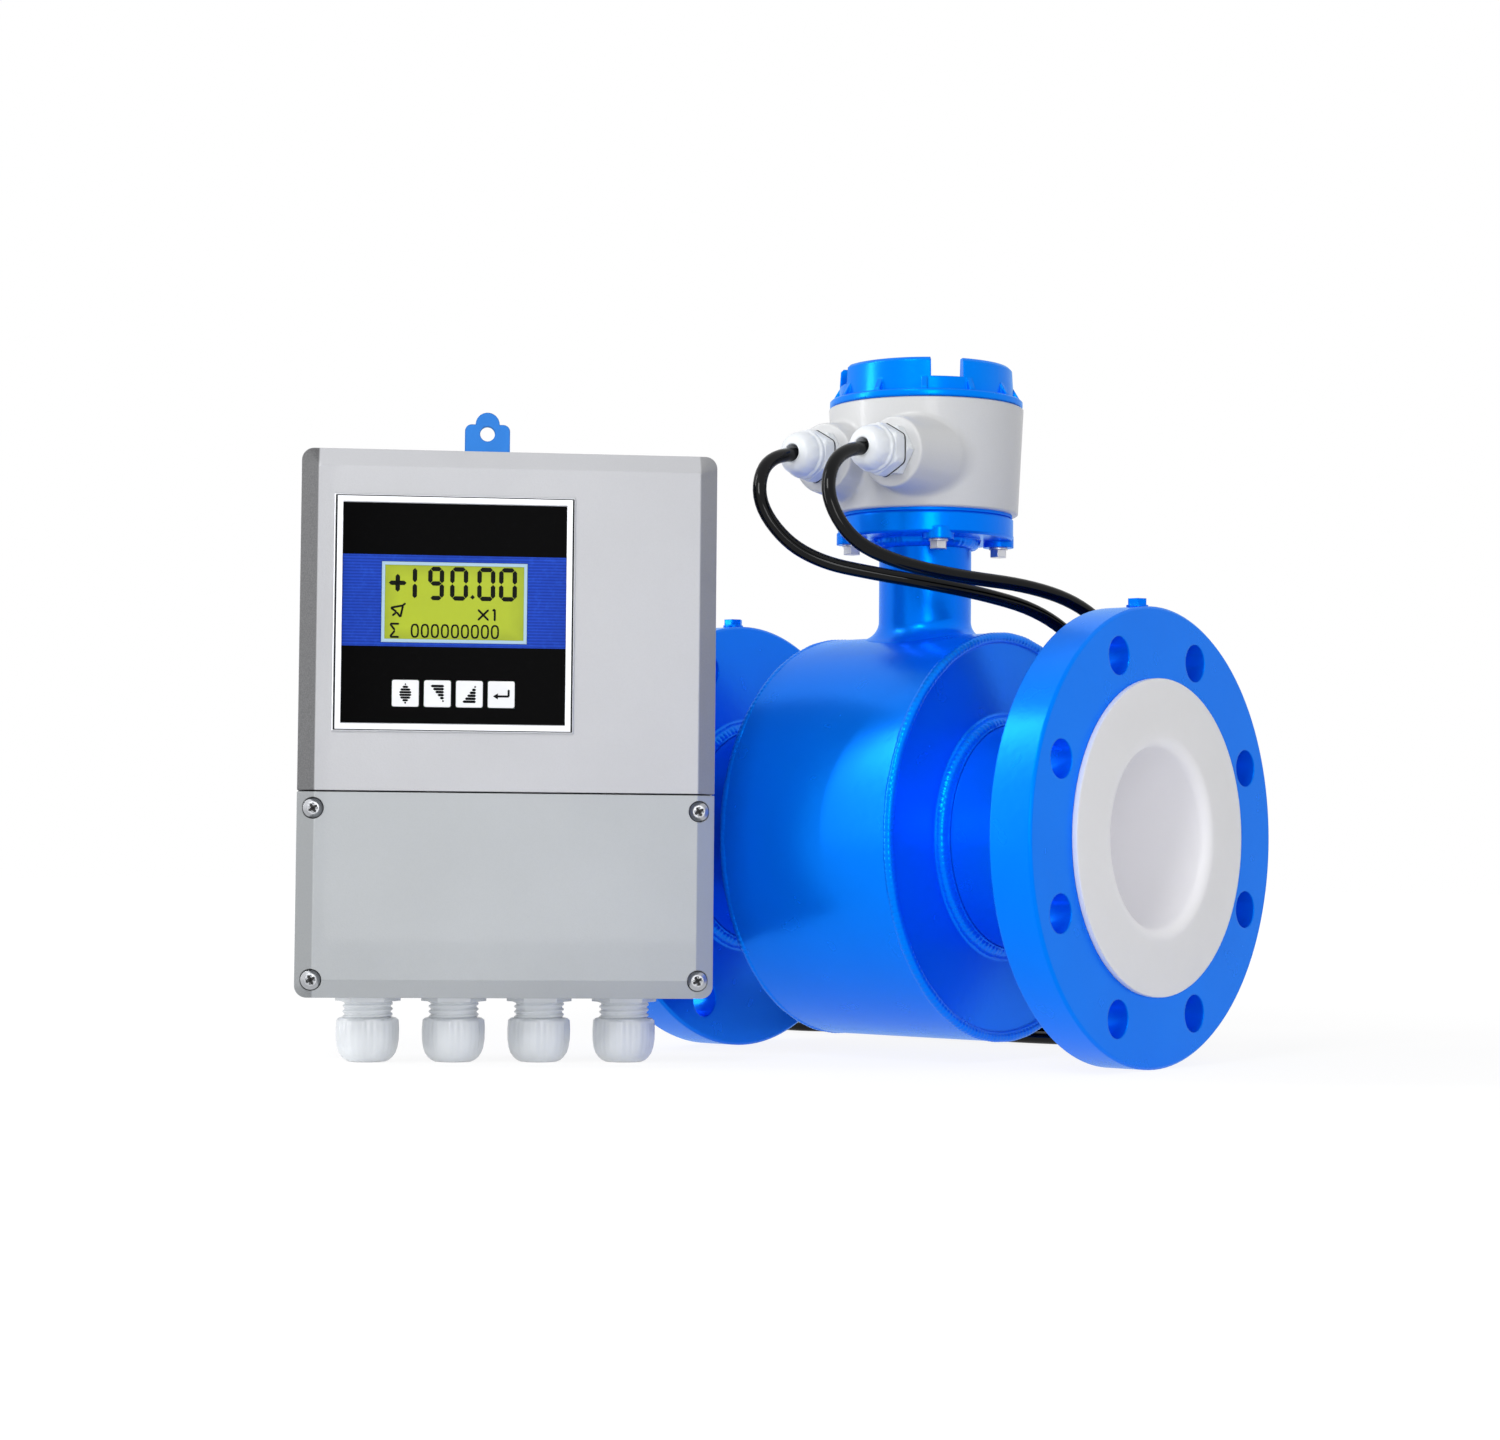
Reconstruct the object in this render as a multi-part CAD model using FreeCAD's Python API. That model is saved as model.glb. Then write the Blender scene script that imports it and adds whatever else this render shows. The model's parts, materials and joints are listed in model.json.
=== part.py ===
"""Remote electromagnetic flow meter, DN100 / 4 inch class 150: flanged sensor and wall converter.

The origin is the centre of the flow bore.  +X runs along the pipe towards the outlet flange, +Z is up
through the neck and the junction box, and the cable glands of the junction box point to -Y.  Both
flanges, the converter's glands and the put-away cables stand on one floor plane.
"""
import FreeCAD, Part
import math
import os

V = FreeCAD.Vector

# ---------------------------------------------------------------- driving dimensions (mm, degrees)
# Measuring tube and liner
LAY_LENGTH = 288.0            # over both liner faces
TUBE_OD = 114.3
TUBE_WALL = 6.02
LINER_WALL = 5.98
LINER_FIT = 0.15              # between the liner and the tube
LINER_FLARE_T = 3.0
MOUTH_R = 5.5                 # rounded entry of the liner

# Flanges
FLANGE_OD = 228.6
FLANGE_T = 23.9
BOLT_EDGE = 19.05             # rim to bolt circle
BOLT_HOLE_D = 19.05
BOLT_COUNT = 8
FLARE_EDGE = 16.65            # bolt circle to the edge of the raised face
EDGE = 1.2                    # chamfer of turned edges
SLIP_FIT = 0.2                # bored plates over tubes
WELD = 6.0                    # leg of a fillet weld

# Coil housing
HOUSING_OD = 209.0
HOUSING_LENGTH = 104.0        # over the rim welds' centres
HOUSING_WALL = 3.0
END_PLATE_T = 6.0
RIM_BEAD_R = 2.6

# Earthing screws
GROUND_D = 5.0
GROUND_DEPTH = 12.0
GROUND_WASHER_D = 11.0
GROUND_WASHER_T = 1.2
GROUND_HEAD_AF = 9.0
GROUND_HEAD_T = 3.2

# Magnet system
CORE_D = 28.0
COIL_OD = 80.0
COIL_STAND = 2.85             # between the tube's crest and the coil
COIL_GAP = 1.6                # between the coil's corner and the yoke
CORE_FIT = 0.5
YOKE_T = 3.0
YOKE_W = 24.0
YOKE_GAP = 2.0                # to the housing wall
LEAD_D = 2.0
LEAD_IN = 4.35                # leads run this far inside the neck's wall
LEAD_GAP = 0.6                # between a lead's end and what it is drawn up to
TAG_T = 0.8
TAG_W = 8.0

# Electrodes
ELECTRODE_HEAD_D = 11.0
ELECTRODE_HEAD_T = 2.0
ELECTRODE_STEM_D = 5.0
ELECTRODE_STEM_OUT = 13.0     # beyond its nut
BUSH_D = 10.0
BUSH_COLLAR_D = 18.0
BUSH_COLLAR_T = 3.6
NUT_T = 4.0
NUT_AF = 8.0                  # also the box bolts' heads
COLLAR_GAP = 0.3              # collar over the crest of the tube

# Neck
NECK_OD = 48.3
NECK_WALL = 2.6
NECK_FLARE = 9.0              # radius of the weld at its foot
NECK_H = 50.5                 # from the housing's crest to the flange's underside
NECK_FLANGE_EDGE = 2.4        # inside the edge of the junction box
NECK_FLANGE_T = 11.6
NECK_WELD = 5.0
PAD_D = 16.0
PAD_T = 3.0
BOX_BOLT_EDGE = 7.0           # rim of the neck flange to the bolt circle
BOX_BOLT_D = 5.0
BOX_BOLT_HEAD_T = 4.0
BOX_WASHER_T = 1.0
BOX_BOLT_ANGLE = 45.0
BOX_GASKET_T = 1.5

# Junction box and cap
BOX_BOTTOM_D = 96.8
BOX_TOP_D = 102.2
BOX_HEIGHT = 55.9
BOX_WALL = 4.3
BOX_FLOOR = 5.4
BLOCK_W = 44.0                # terminal block
BLOCK_D = 14.0
BLOCK_H = 15.9
BLOCK_BACK = 8.1              # its back to the box's wall, at the middle
BLOCK_WAYS = 7
BLOCK_PITCH = 6.0
BOSS_D = 36.0
BOSS_FLARE = 4.0              # the boss widens towards the box
BOSS_OUT = 12.6               # its face beyond the box's foot
BOSS_RISE = 25.9              # its middle above the box's underside
BOSS_X = 22.0
CAP_INSET = 0.5               # cap's edge inside the box's rim
CAP_RING_T = 4.0
CAP_STEP = 4.6                # width of the ring outside the crown
CAP_CROWN_H = 17.0
CAP_FLOOR_T = 3.4
CAP_SPIGOT_WALL = 4.0
CAP_RIM_W = 8.0               # top of the crown's wall
CAP_SPIGOT_H = 9.6
CAP_FIT = 0.3                 # spigot in the box, and face gaps that close on the seal
CAP_NOTCH_W = 17.0
CAP_NOTCH_H = 10.0
CAP_NOTCHES = 4
CAP_RIBS = 12
CAP_RIB_T = 3.0
CAP_TURN = -41.0              # angle of the first notch about +Z
SEAL_W = 2.6
SEAL_H = 1.8

# Cables and their glands
CABLE_D = 7.0
COIL_TURNS_WIDE = 4
COIL_TURNS_HIGH = 4
COIL_MEAN_R = 40.0
SIGNAL_COIL_AT = (-60.0, 190.0)
SIGNAL_COIL_ENTRY = -120.0    # angle about the coil's own centre
SIGNAL_COIL_EXIT = 150.0
EXCITATION_COIL_AT = (-175.0, 170.0)
EXCITATION_COIL_ENTRY = -93.0
EXCITATION_COIL_EXIT = 120.0
CABLE_IN = 5.0                # jacket starts this far outside the boss, inside the gland
CORE_R = 1.1                  # one insulated core
CORES = 3
BOOT_D = 8.4
JACKET_END = 40.0              # the jacket ends this far past the coil

# Converter
CONV_ANGLE = 45.0             # turned about +Z, so its front faces between +X and -Y
CONV_CORNER_X = 62.56         # its rear right corner, from the inlet end along the pipe
CONV_CORNER_Y = 29.0          # and from the flanges' front
CONV_W = 204.0
CONV_H = 268.0
CONV_D = 80.0
COVER_D = 20.0
COVER_WALL = 4.0
COVER_GASKET_T = 1.0
PARTING = 100.3               # height of the joint between the two covers
PARTING_GAP = 0.6
BEVEL_W = 9.0
BEVEL_D = 7.0
CORNER_R = 6.0
HOUSING_SHELL = 4.0
COVER_SCREW_EDGE = 8.0        # from the cover's sides
COVER_SCREW_LOW = 8.9         # from its lower edge
COVER_SCREW_HIGH = 8.3        # from its upper edge
COVER_SCREW_HEAD_D = 9.6
COVER_SCREW_L = 29.0
SCREW_SEAT_Y = 5.0            # below the front
SCREW_D = 4.0
REAR_SCREW_EDGE = 12.0
REAR_SCREW_LOW = 12.7         # above the joint of the covers
REAR_SCREW_HIGH = 13.0        # below the top
REAR_HEAD_D = 7.6
REAR_HEAD_DEPTH = 3.5
POST_R = 5.5
PANEL_W = 110.0
PANEL_H = 108.6
PANEL_LEFT = 20.0             # its left edge from the converter's side
PANEL_TOP = 26.5              # its upper edge below the converter's top
PANEL_T = 2.0
PANEL_FIT = 0.3
POCKET = 2.4                  # depth of the panel's pocket
FRAME_W = 3.6
FRAME_T = 1.2
FRAME_LIP = 0.6               # frame over the panel's edge
LCD_W = 70.7
LCD_H = 39.4
LCD_RISE = 5.5                # its middle above the panel's middle
LCD_BORDER = 1.6
LCD_DEPTH = 0.4               # glass below its bezel
KEYS = 4
KEY_SIZE = 13.0
KEY_T = 2.6
KEY_STEM_R = 1.8
KEY_PITCH = 15.5
KEY_DROP = 39.1               # its middle below the panel's middle
KEY_FIT = 0.3
KEY_RISE = 0.7                # above the panel
KEY_TRAVEL = 0.5
SWITCH_Y = 8.0                # tops of the key switches, behind the front
SWITCH_W = 6.0
DISPLAY_BOARD_EDGE = 5.0      # display board inside the panel's edges
BOARD_Y = 50.0                # main board
BOARD_T = 1.6
BOARD_EDGE = 26.0             # main board from the converter's sides
BOARD_LOW = 19.7              # above the joint of the covers
BOARD_HIGH = 18.0             # below the top
BOARD_POST_IN = 12.0          # posts from the board's edges
BOARD_POST_R = 3.5
STRIP_EDGE = 32.0             # terminal strip from the converter's sides
STRIP_Z = 59.0
STRIP_H = 18.0
STRIP_D = 22.0
STRIP_WAYS = 16
STRIP_PITCH = 8.5
HANGER_X = -10.0
HANGER_HOLE_D = 7.6
HANGER_HOLE_Z = 18.8          # above the box
HANGER_EYE_Z = 23.7           # middle of its round top, above the box
HANGER_EYE_R = 6.2
HANGER_T = 3.0
HANGER_W = 42.0
HANGER_NECK_W = 23.2
HANGER_FOOT = 28.0            # down the back
HANGER_SCREW_X = 12.0         # from its middle
HANGER_SCREW_Z = 18.0         # below the top
CONV_GLAND_SIDE = 34.0         # least distance from a gland's middle to the converter's side
CONV_GLAND_PITCH = 42.5
CONV_GLAND_X = -3.0           # middle of the row
CONV_GLAND_Y = 40.0           # behind the front

# ---------------------------------------------------------------- sizes that follow
FLOOR_Z = -FLANGE_OD / 2
FACE_X = LAY_LENGTH / 2 - LINER_FLARE_T
FLANGE_BACK_X = FACE_X - FLANGE_T
BOLT_PCD = FLANGE_OD - 2 * BOLT_EDGE
LINER_FLARE_D = BOLT_PCD - 2 * FLARE_EDGE
TUBE_R = TUBE_OD / 2
TUBE_IN_R = TUBE_R - TUBE_WALL
LINER_R = TUBE_IN_R - LINER_FIT
BORE_R = LINER_R - LINER_WALL
COLLAR_Y = TUBE_R + COLLAR_GAP
ELECTRODE_TIP = COLLAR_Y + BUSH_COLLAR_T + NUT_T + ELECTRODE_STEM_OUT
SHELL_R = HOUSING_OD / 2
SHELL_IN_R = SHELL_R - HOUSING_WALL
SHELL_END_X = HOUSING_LENGTH / 2 - EDGE
PLATE_IN_X = SHELL_END_X - END_PLATE_T
YOKE_R = SHELL_IN_R - YOKE_GAP
YOKE_IN_R = YOKE_R - YOKE_T
COIL_SEAT_Z = TUBE_R + COIL_STAND
COIL_TOP_Z = math.sqrt((YOKE_IN_R - COIL_GAP) ** 2 - (COIL_OD / 2) ** 2)
NECK_R = NECK_OD / 2
NECK_IN_R = NECK_R - NECK_WALL
LEAD_X = NECK_IN_R - LEAD_IN
NECK_FLANGE_Z = SHELL_R + NECK_H
NECK_TOP_Z = NECK_FLANGE_Z + NECK_FLANGE_T
NECK_FLANGE_R = BOX_BOTTOM_D / 2 - NECK_FLANGE_EDGE
BOX_BOLT_PCD = 2 * (NECK_FLANGE_R - BOX_BOLT_EDGE)
BOX_Z = NECK_TOP_Z + BOX_GASKET_T
BOX_TOP_Z = BOX_Z + BOX_HEIGHT
BOX_FLOOR_Z = BOX_Z + BOX_FLOOR
BOX_IN_R = BOX_BOTTOM_D / 2 - BOX_WALL
BLOCK_Y = BOX_IN_R - BLOCK_BACK - BLOCK_D
BOSS_Z = BOX_Z + BOSS_RISE
BOSS_FACE_Y = BOX_BOTTOM_D / 2 + BOSS_OUT
SEAL_R = (BOX_IN_R + BOX_TOP_D / 2) / 2
CAP_RING_R = BOX_TOP_D / 2 - CAP_INSET
CAP_CROWN_R = CAP_RING_R - CAP_STEP
CAP_Z = BOX_TOP_Z + CAP_FIT
CROWN_Z = CAP_Z + CAP_RING_T
CAP_TOP_Z = CROWN_Z + CAP_CROWN_H
CABLE_R = CABLE_D / 2
COIL_HALF_W = COIL_TURNS_WIDE * CABLE_D / 2
COIL_H = COIL_TURNS_HIGH * CABLE_D
COIL_OUT_R = COIL_MEAN_R + COIL_HALF_W
COIL_PATH_R = COIL_OUT_R - CABLE_R
COIL_TOP_ROW_Z = FLOOR_Z + COIL_H - CABLE_R
CABLE_START_Y = -BOSS_FACE_Y - CABLE_IN
CLEAR = 0.2                   # small clearance of fixed pieces

# Glands: sizes along their own axis, outwards from the face they screw into
BOX_GLAND = dict(thread_r=9.9, thread_l=9.0, af=24.0, flange=5.0, stub_r=9.2, stub_l=9.0,
                 bore_r=6.8, nut_start=5.4, nut_af=24.0, nut_l=20.6, dome_r=6.4, dome_l=8.0,
                 mouth_r=CABLE_R + 0.8)
CONV_GLAND = dict(thread_r=12.4, thread_l=12.0, af=28.0, flange=3.0, stub_r=11.4, stub_l=14.0,
                  bore_r=8.4, nut_start=11.0, nut_af=29.0, nut_l=22.0, dome_r=9.5, dome_l=6.0,
                  mouth_r=7.4, locknut_af=32.0, locknut_l=5.0)
GLAND_GAP = 0.4
SEAL_L = 9.0

# Converter: heights are above its own underside
CONV_BASE_Z = CONV_GLAND["nut_start"] + CONV_GLAND["nut_l"]
CONV_GLANDS = int((CONV_W - 2 * CONV_GLAND_SIDE) // CONV_GLAND_PITCH) + 1
PANEL_X = -CONV_W / 2 + PANEL_LEFT + PANEL_W / 2
PANEL_Z = CONV_H - PANEL_TOP - PANEL_H / 2
PANEL_Y = POCKET - PANEL_T - CLEAR / 2
LCD_Z = PANEL_Z + LCD_RISE
KEY_Z = PANEL_Z - KEY_DROP
BOARD_Z0 = PARTING + BOARD_LOW
BOARD_Z1 = CONV_H - BOARD_HIGH
BOARD_HALF_W = CONV_W / 2 - BOARD_EDGE

parts = {}


# ---------------------------------------------------------------- shape helpers
def direction(axis):
    """Unit vector of a named axis."""
    return {"x": V(1, 0, 0), "y": V(0, 1, 0), "z": V(0, 0, 1)}[axis]


def rod(axis, radius, start, end, at=V(0, 0, 0)):
    """Cylinder along an axis between two coordinates on it."""
    low, high = min(start, end), max(start, end)
    return Part.makeCylinder(radius, high - low, at + direction(axis) * low, direction(axis))


def ring(axis, outer, inner, start, end, at=V(0, 0, 0)):
    """Plain tube."""
    return rod(axis, outer, start, end, at).cut(rod(axis, inner, start, end, at))


def turned(axis, profile, at=V(0, 0, 0)):
    """Solid turned about an axis from a closed profile of (position along it, radius) points."""
    along = direction(axis)
    across = V(0, 0, 1) if axis != "z" else V(1, 0, 0)
    points = [at + along * a + across * r for a, r in profile]
    face = Part.Face(Part.makePolygon(points + points[:1]))
    return face.revolve(at, along, 360)


def block(x0, x1, y0, y1, z0, z1):
    """Box between two corners."""
    return Part.makeBox(x1 - x0, y1 - y0, z1 - z0, V(x0, y0, z0))


def hexagon(across_flats, start, end):
    """Hexagonal prism along +Z."""
    radius = across_flats / math.sqrt(3)
    corners = [V(radius * math.cos(math.radians(60 * k)), radius * math.sin(math.radians(60 * k)), start)
               for k in range(7)]
    return Part.Face(Part.makePolygon(corners)).extrude(V(0, 0, end - start))


def moved(shape, offset, axis=V(0, 0, 1), angle=0.0):
    """Copy turned about an axis through the origin, then shifted."""
    copy = shape.copy()
    copy.Placement = FreeCAD.Placement(offset, FreeCAD.Rotation(axis, angle)).multiply(copy.Placement)
    return copy


def outline(x0, x1, z0, z1, y, radii):
    """Rounded rectangle in a plane of constant y; radii run from the low-x low-z corner, x first."""
    corners = [(x0, z0, 1, 1), (x1, z0, -1, 1), (x1, z1, -1, -1), (x0, z1, 1, -1)]
    bend = 1 - math.sqrt(0.5)
    edges = []
    ends = []
    for index, (x, z, sx, sz) in enumerate(corners):
        r = radii[index]
        along_x = V(x + sx * r, y, z)
        along_z = V(x, y, z + sz * r)
        middle = V(x + sx * r * bend, y, z + sz * r * bend)
        first, last = (along_z, along_x) if index % 2 == 0 else (along_x, along_z)
        ends.append((first, middle, last))
    for index, (first, middle, last) in enumerate(ends):
        edges.append(Part.Arc(first, middle, last).toShape())
        edges.append(Part.makeLine(last, ends[(index + 1) % 4][0]))
    return Part.Wire(edges)


def plate(x0, x1, y0, y1, z0, z1, radii):
    """Plate with rounded corners, its thickness along y."""
    return Part.Face(outline(x0, x1, z0, z1, y0, radii)).extrude(V(0, y1 - y0, 0))


def route(points):
    """Straight runs joined by tangent arcs; returns the path and the radii of its arcs."""
    runs = [(b - a).Length for a, b in zip(points, points[1:])]
    edges = []
    radii = []
    here = points[0]
    for index in range(1, len(points) - 1):
        corner = points[index]
        back = (points[index - 1] - corner).normalize()
        ahead = (points[index + 1] - corner).normalize()
        turn = math.pi - back.getAngle(ahead)
        reach = 0.45 * min(runs[index - 1], runs[index])
        radius = reach / math.tan(turn / 2)
        start, end = corner + back * reach, corner + ahead * reach
        inward = (back + ahead).normalize()
        middle = corner + inward * (radius / math.cos(turn / 2) - radius)
        edges.append(Part.makeLine(here, start))
        edges.append(Part.Arc(start, middle, end).toShape())
        radii.append(radius)
        here = end
    edges.append(Part.makeLine(here, points[-1]))
    return Part.Wire(edges), radii


def tube_along(points, diameter):
    """Round solid swept along a route."""
    path, radii = route(points)
    tangent = (points[1] - points[0]).normalize()
    circle = Part.Wire(Part.makeCircle(diameter / 2, points[0], tangent))
    solid = path.makePipeShell([circle], True, False)
    wanted = math.pi * (diameter / 2) ** 2 * path.Length
    if abs(solid.Volume / wanted - 1) > 0.01:
        raise ValueError("a swept tube has %.0f mm3 where %.0f was due" % (solid.Volume, wanted))
    return solid, radii, path.Length


def group(shapes):
    """Separate solids kept together in one file."""
    return Part.Compound(shapes)


# ---------------------------------------------------------------- sensor: pressure parts
def measuring_tube():
    """Stainless tube between the flange faces, with the two electrode holes."""
    tube = ring("x", TUBE_R, TUBE_IN_R, -FACE_X, FACE_X)
    return tube.cut(rod("y", BUSH_D / 2 + CLEAR, -TUBE_R - 1, TUBE_R + 1))


def flange(side):
    """Slip-on flange with its weld, bolt holes off the vertical centre line, and an earth tapping."""
    outer = FLANGE_OD / 2
    bore = TUBE_R + SLIP_FIT
    profile = [(FLANGE_BACK_X, bore + WELD), (FLANGE_BACK_X, outer - EDGE), (FLANGE_BACK_X + EDGE, outer),
               (FACE_X - EDGE, outer), (FACE_X, outer - EDGE), (FACE_X, bore),
               (FLANGE_BACK_X - WELD, bore)]
    body = turned("x", [(side * a, r) for a, r in profile])
    for index in range(BOLT_COUNT):
        angle = 2 * math.pi * (index + 0.5) / BOLT_COUNT
        place = V(0, math.cos(angle), math.sin(angle)) * (BOLT_PCD / 2)
        body = body.cut(rod("x", BOLT_HOLE_D / 2, -LAY_LENGTH, LAY_LENGTH, place))
    middle = side * (FACE_X - FLANGE_T / 2)
    return body.cut(rod("z", GROUND_D / 2 + CLEAR, outer - GROUND_DEPTH, outer + 1, V(middle, 0, 0)))


def liner():
    """Moulded liner: a sleeve with a rounded mouth and a flare over each flange face."""
    bore, end = BORE_R, LAY_LENGTH / 2
    shoulder = FACE_X + CLEAR / 2
    bend = MOUTH_R * (1 - math.sqrt(0.5))
    straight = end - MOUTH_R
    half = [V(shoulder, 0, LINER_R), V(shoulder, 0, LINER_FLARE_D / 2), V(end, 0, LINER_FLARE_D / 2),
            V(end, 0, bore + MOUTH_R)]
    edges = [Part.makeLine(a, b) for a, b in zip(half, half[1:])]
    edges.append(Part.Arc(half[-1], V(end - bend, 0, bore + bend), V(straight, 0, bore)).toShape())
    edges.append(Part.makeLine(V(straight, 0, bore), V(-straight, 0, bore)))
    edges.append(Part.Arc(V(-straight, 0, bore), V(-end + bend, 0, bore + bend),
                          V(-end, 0, bore + MOUTH_R)).toShape())
    other = [V(-point.x, 0, point.z) for point in reversed(half)]
    edges += [Part.makeLine(a, b) for a, b in zip(other, other[1:])]
    edges.append(Part.makeLine(other[-1], half[0]))
    body = Part.Face(Part.Wire(edges)).revolve(V(0, 0, 0), V(1, 0, 0), 360)
    head_seat = bore + ELECTRODE_HEAD_T + CLEAR
    for side in (-1, 1):
        body = body.cut(rod("y", ELECTRODE_HEAD_D / 2 + CLEAR, 0, side * head_seat))
        body = body.cut(rod("y", ELECTRODE_STEM_D / 2 + CLEAR, 0, side * TUBE_R))
    return body


# ---------------------------------------------------------------- sensor: electrodes and magnet
def electrode(side):
    """Flush measuring electrode with its clamping stem."""
    head_end = BORE_R + ELECTRODE_HEAD_T
    head = rod("y", ELECTRODE_HEAD_D / 2, side * BORE_R, side * head_end)
    stem = rod("y", ELECTRODE_STEM_D / 2, side * head_end, side * ELECTRODE_TIP)
    return head.fuse(stem).removeSplitter()


def electrode_bush(side):
    """Insulating bush through the tube wall."""
    hole = ELECTRODE_STEM_D / 2 + CLEAR
    sleeve = rod("y", BUSH_D / 2, side * (TUBE_IN_R + CLEAR), side * (COLLAR_Y + BUSH_COLLAR_T))
    collar = rod("y", BUSH_COLLAR_D / 2, side * COLLAR_Y, side * (COLLAR_Y + BUSH_COLLAR_T))
    through = rod("y", hole, 0, side * ELECTRODE_TIP)
    return sleeve.fuse(collar).cut(through).removeSplitter()


def electrode_nut(side):
    """Nut on the electrode stem."""
    body = hexagon(NUT_AF, 0, NUT_T).cut(rod("z", ELECTRODE_STEM_D / 2 + CLEAR / 2, -1, NUT_T + 1))
    start = COLLAR_Y + BUSH_COLLAR_T + CLEAR
    return moved(body, V(0, side * start, 0), V(1, 0, 0), -90 * side)


def pole_core(side):
    """Iron core between the measuring tube and the return yoke."""
    core = rod("z", CORE_D / 2, side * COIL_SEAT_Z / 2, side * (YOKE_IN_R + YOKE_T))
    core = core.cut(rod("x", TUBE_R + CLEAR, -CORE_D, CORE_D))
    return core.common(rod("x", YOKE_IN_R - CLEAR, -CORE_D, CORE_D))


def field_coil(side):
    """Wound coil around a pole core."""
    return ring("z", COIL_OD / 2, CORE_D / 2 + CORE_FIT, side * COIL_SEAT_Z, side * COIL_TOP_Z)


def return_yoke():
    """Steel band that closes the magnetic circuit."""
    return ring("x", YOKE_R, YOKE_IN_R, -YOKE_W / 2, YOKE_W / 2)


def around(x, radius, first, last, steps):
    """Points on an arc about the pipe axis, at angles from +Y towards +Z."""
    angles = [math.radians(first + (last - first) * k / steps) for k in range(steps + 1)]
    return [V(x, radius * math.cos(a), radius * math.sin(a)) for a in angles]


def sensor_wiring():
    """Tags and leads from coils and electrodes, and the cable cores, up to the terminal block."""
    pieces = []
    wire_r = YOKE_R - YOKE_T / 2
    block_y = BLOCK_Y - LEAD_GAP
    tag_y = COLLAR_Y + BUSH_COLLAR_T + NUT_T + 2 * CLEAR
    hole = ELECTRODE_STEM_D / 2 + CLEAR / 2
    for side in (-1, 1):
        tag = block(-TAG_W / 2, LEAD_X + LEAD_D, tag_y, tag_y + TAG_T, -TAG_W / 2, TAG_W / 2)
        tag = tag.cut(rod("y", hole, 0, ELECTRODE_TIP))
        lead = [V(LEAD_X, tag_y + TAG_T + CLEAR, 0), V(LEAD_X, wire_r - 6, 3)]
        lead += around(LEAD_X, wire_r, 18, 74, 4)
        lead += [V(LEAD_X, 9, SHELL_IN_R - 2.5), V(LEAD_X - 1.2, 7, SHELL_R + 12)]
        pieces.append(tag if side > 0 else tag.mirror(V(0, 0, 0), V(0, 1, 0)))
        lead = [V(p.x, side * p.y, p.z) for p in lead]
        lead += [V(13, side * 7, NECK_FLANGE_Z), V(10, side * 4 + 2, BOX_FLOOR_Z + 6),
                 V(10 - side * 3, block_y, BOX_FLOOR_Z + 9)]
        pieces.append(tube_along(lead, LEAD_D)[0])
    upper = [V(LEAD_X, 0, COIL_TOP_Z + LEAD_GAP), V(LEAD_X, 0.5, SHELL_R + 10),
             V(11, 1, NECK_FLANGE_Z), V(4, 8, BOX_FLOOR_Z + 5), V(0, block_y, BOX_FLOOR_Z + 9)]
    pieces.append(tube_along(upper, LEAD_D)[0])
    lower = [V(-LEAD_X, 0, -COIL_TOP_Z - 2 * LEAD_GAP), V(-LEAD_X, 8, -wire_r + 2)]
    lower += around(-LEAD_X, wire_r, -72, 83, 9)
    lower += [V(-LEAD_X, 4, SHELL_IN_R + 4), V(-14, 0, NECK_FLANGE_Z), V(-10, 8, BOX_FLOOR_Z + 6),
              V(-7, block_y, BOX_FLOOR_Z + 9)]
    pieces.append(tube_along(lower, LEAD_D)[0])
    for side in (-1, 1):
        cores = [V(side * BOSS_X, CABLE_START_Y + CLEAR, BOSS_Z), V(side * (BOSS_X - 1), -30, BOSS_Z - 1),
                 V(side * 17, 0, BOX_FLOOR_Z + 14), V(side * 15, block_y, BOX_FLOOR_Z + 11)]
        pieces.append(tube_along(cores, LEAD_D + 1)[0])
    return group(pieces)


# ---------------------------------------------------------------- sensor: coil housing and neck
def housing_shell():
    """Rolled cover of the magnet system, open at the neck."""
    shell = ring("x", SHELL_R, SHELL_IN_R, -SHELL_END_X, SHELL_END_X)
    return shell.cut(rod("z", NECK_IN_R - CLEAR, 0, SHELL_R + 1))


def end_plate(side):
    """Ring plate inside the shell's end, with its rim bead and its fillet weld on the tube."""
    bore = TUBE_R + SLIP_FIT
    outer = SHELL_IN_R - SLIP_FIT
    profile = [(PLATE_IN_X, bore), (PLATE_IN_X, outer), (SHELL_END_X, outer),
               (SHELL_END_X, bore + WELD), (SHELL_END_X + WELD, bore)]
    body = turned("x", [(side * a, r) for a, r in profile])
    bead = Part.makeTorus(SHELL_R - RIM_BEAD_R + CLEAR, RIM_BEAD_R, V(side * SHELL_END_X, 0, 0), V(1, 0, 0))
    cut_from = side * (SHELL_END_X + CLEAR / 2)
    bead = bead.common(rod("x", SHELL_R + WELD, cut_from, side * (SHELL_END_X + WELD)))
    link = ring("x", outer, outer - 2, side * (SHELL_END_X - 1), side * (SHELL_END_X + 0.5))
    return body.fuse(link).fuse(bead).removeSplitter()


def neck_tube():
    """Tube from the housing to the junction box, flared by its weld at the foot."""
    foot = SHELL_R + CLEAR
    profile = [(0, NECK_IN_R), (0, NECK_R + NECK_FLARE), (foot, NECK_R + NECK_FLARE)]
    steps = 6
    for k in range(1, steps + 1):
        angle = math.pi / 2 * k / steps
        profile.append((foot + NECK_FLARE * (1 - math.cos(angle)),
                        NECK_R + NECK_FLARE * (1 - math.sin(angle))))
    profile += [(NECK_TOP_Z - CLEAR, NECK_R), (NECK_TOP_Z - CLEAR, NECK_IN_R)]
    return turned("z", profile).cut(rod("x", foot, -SHELL_R, SHELL_R))


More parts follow.
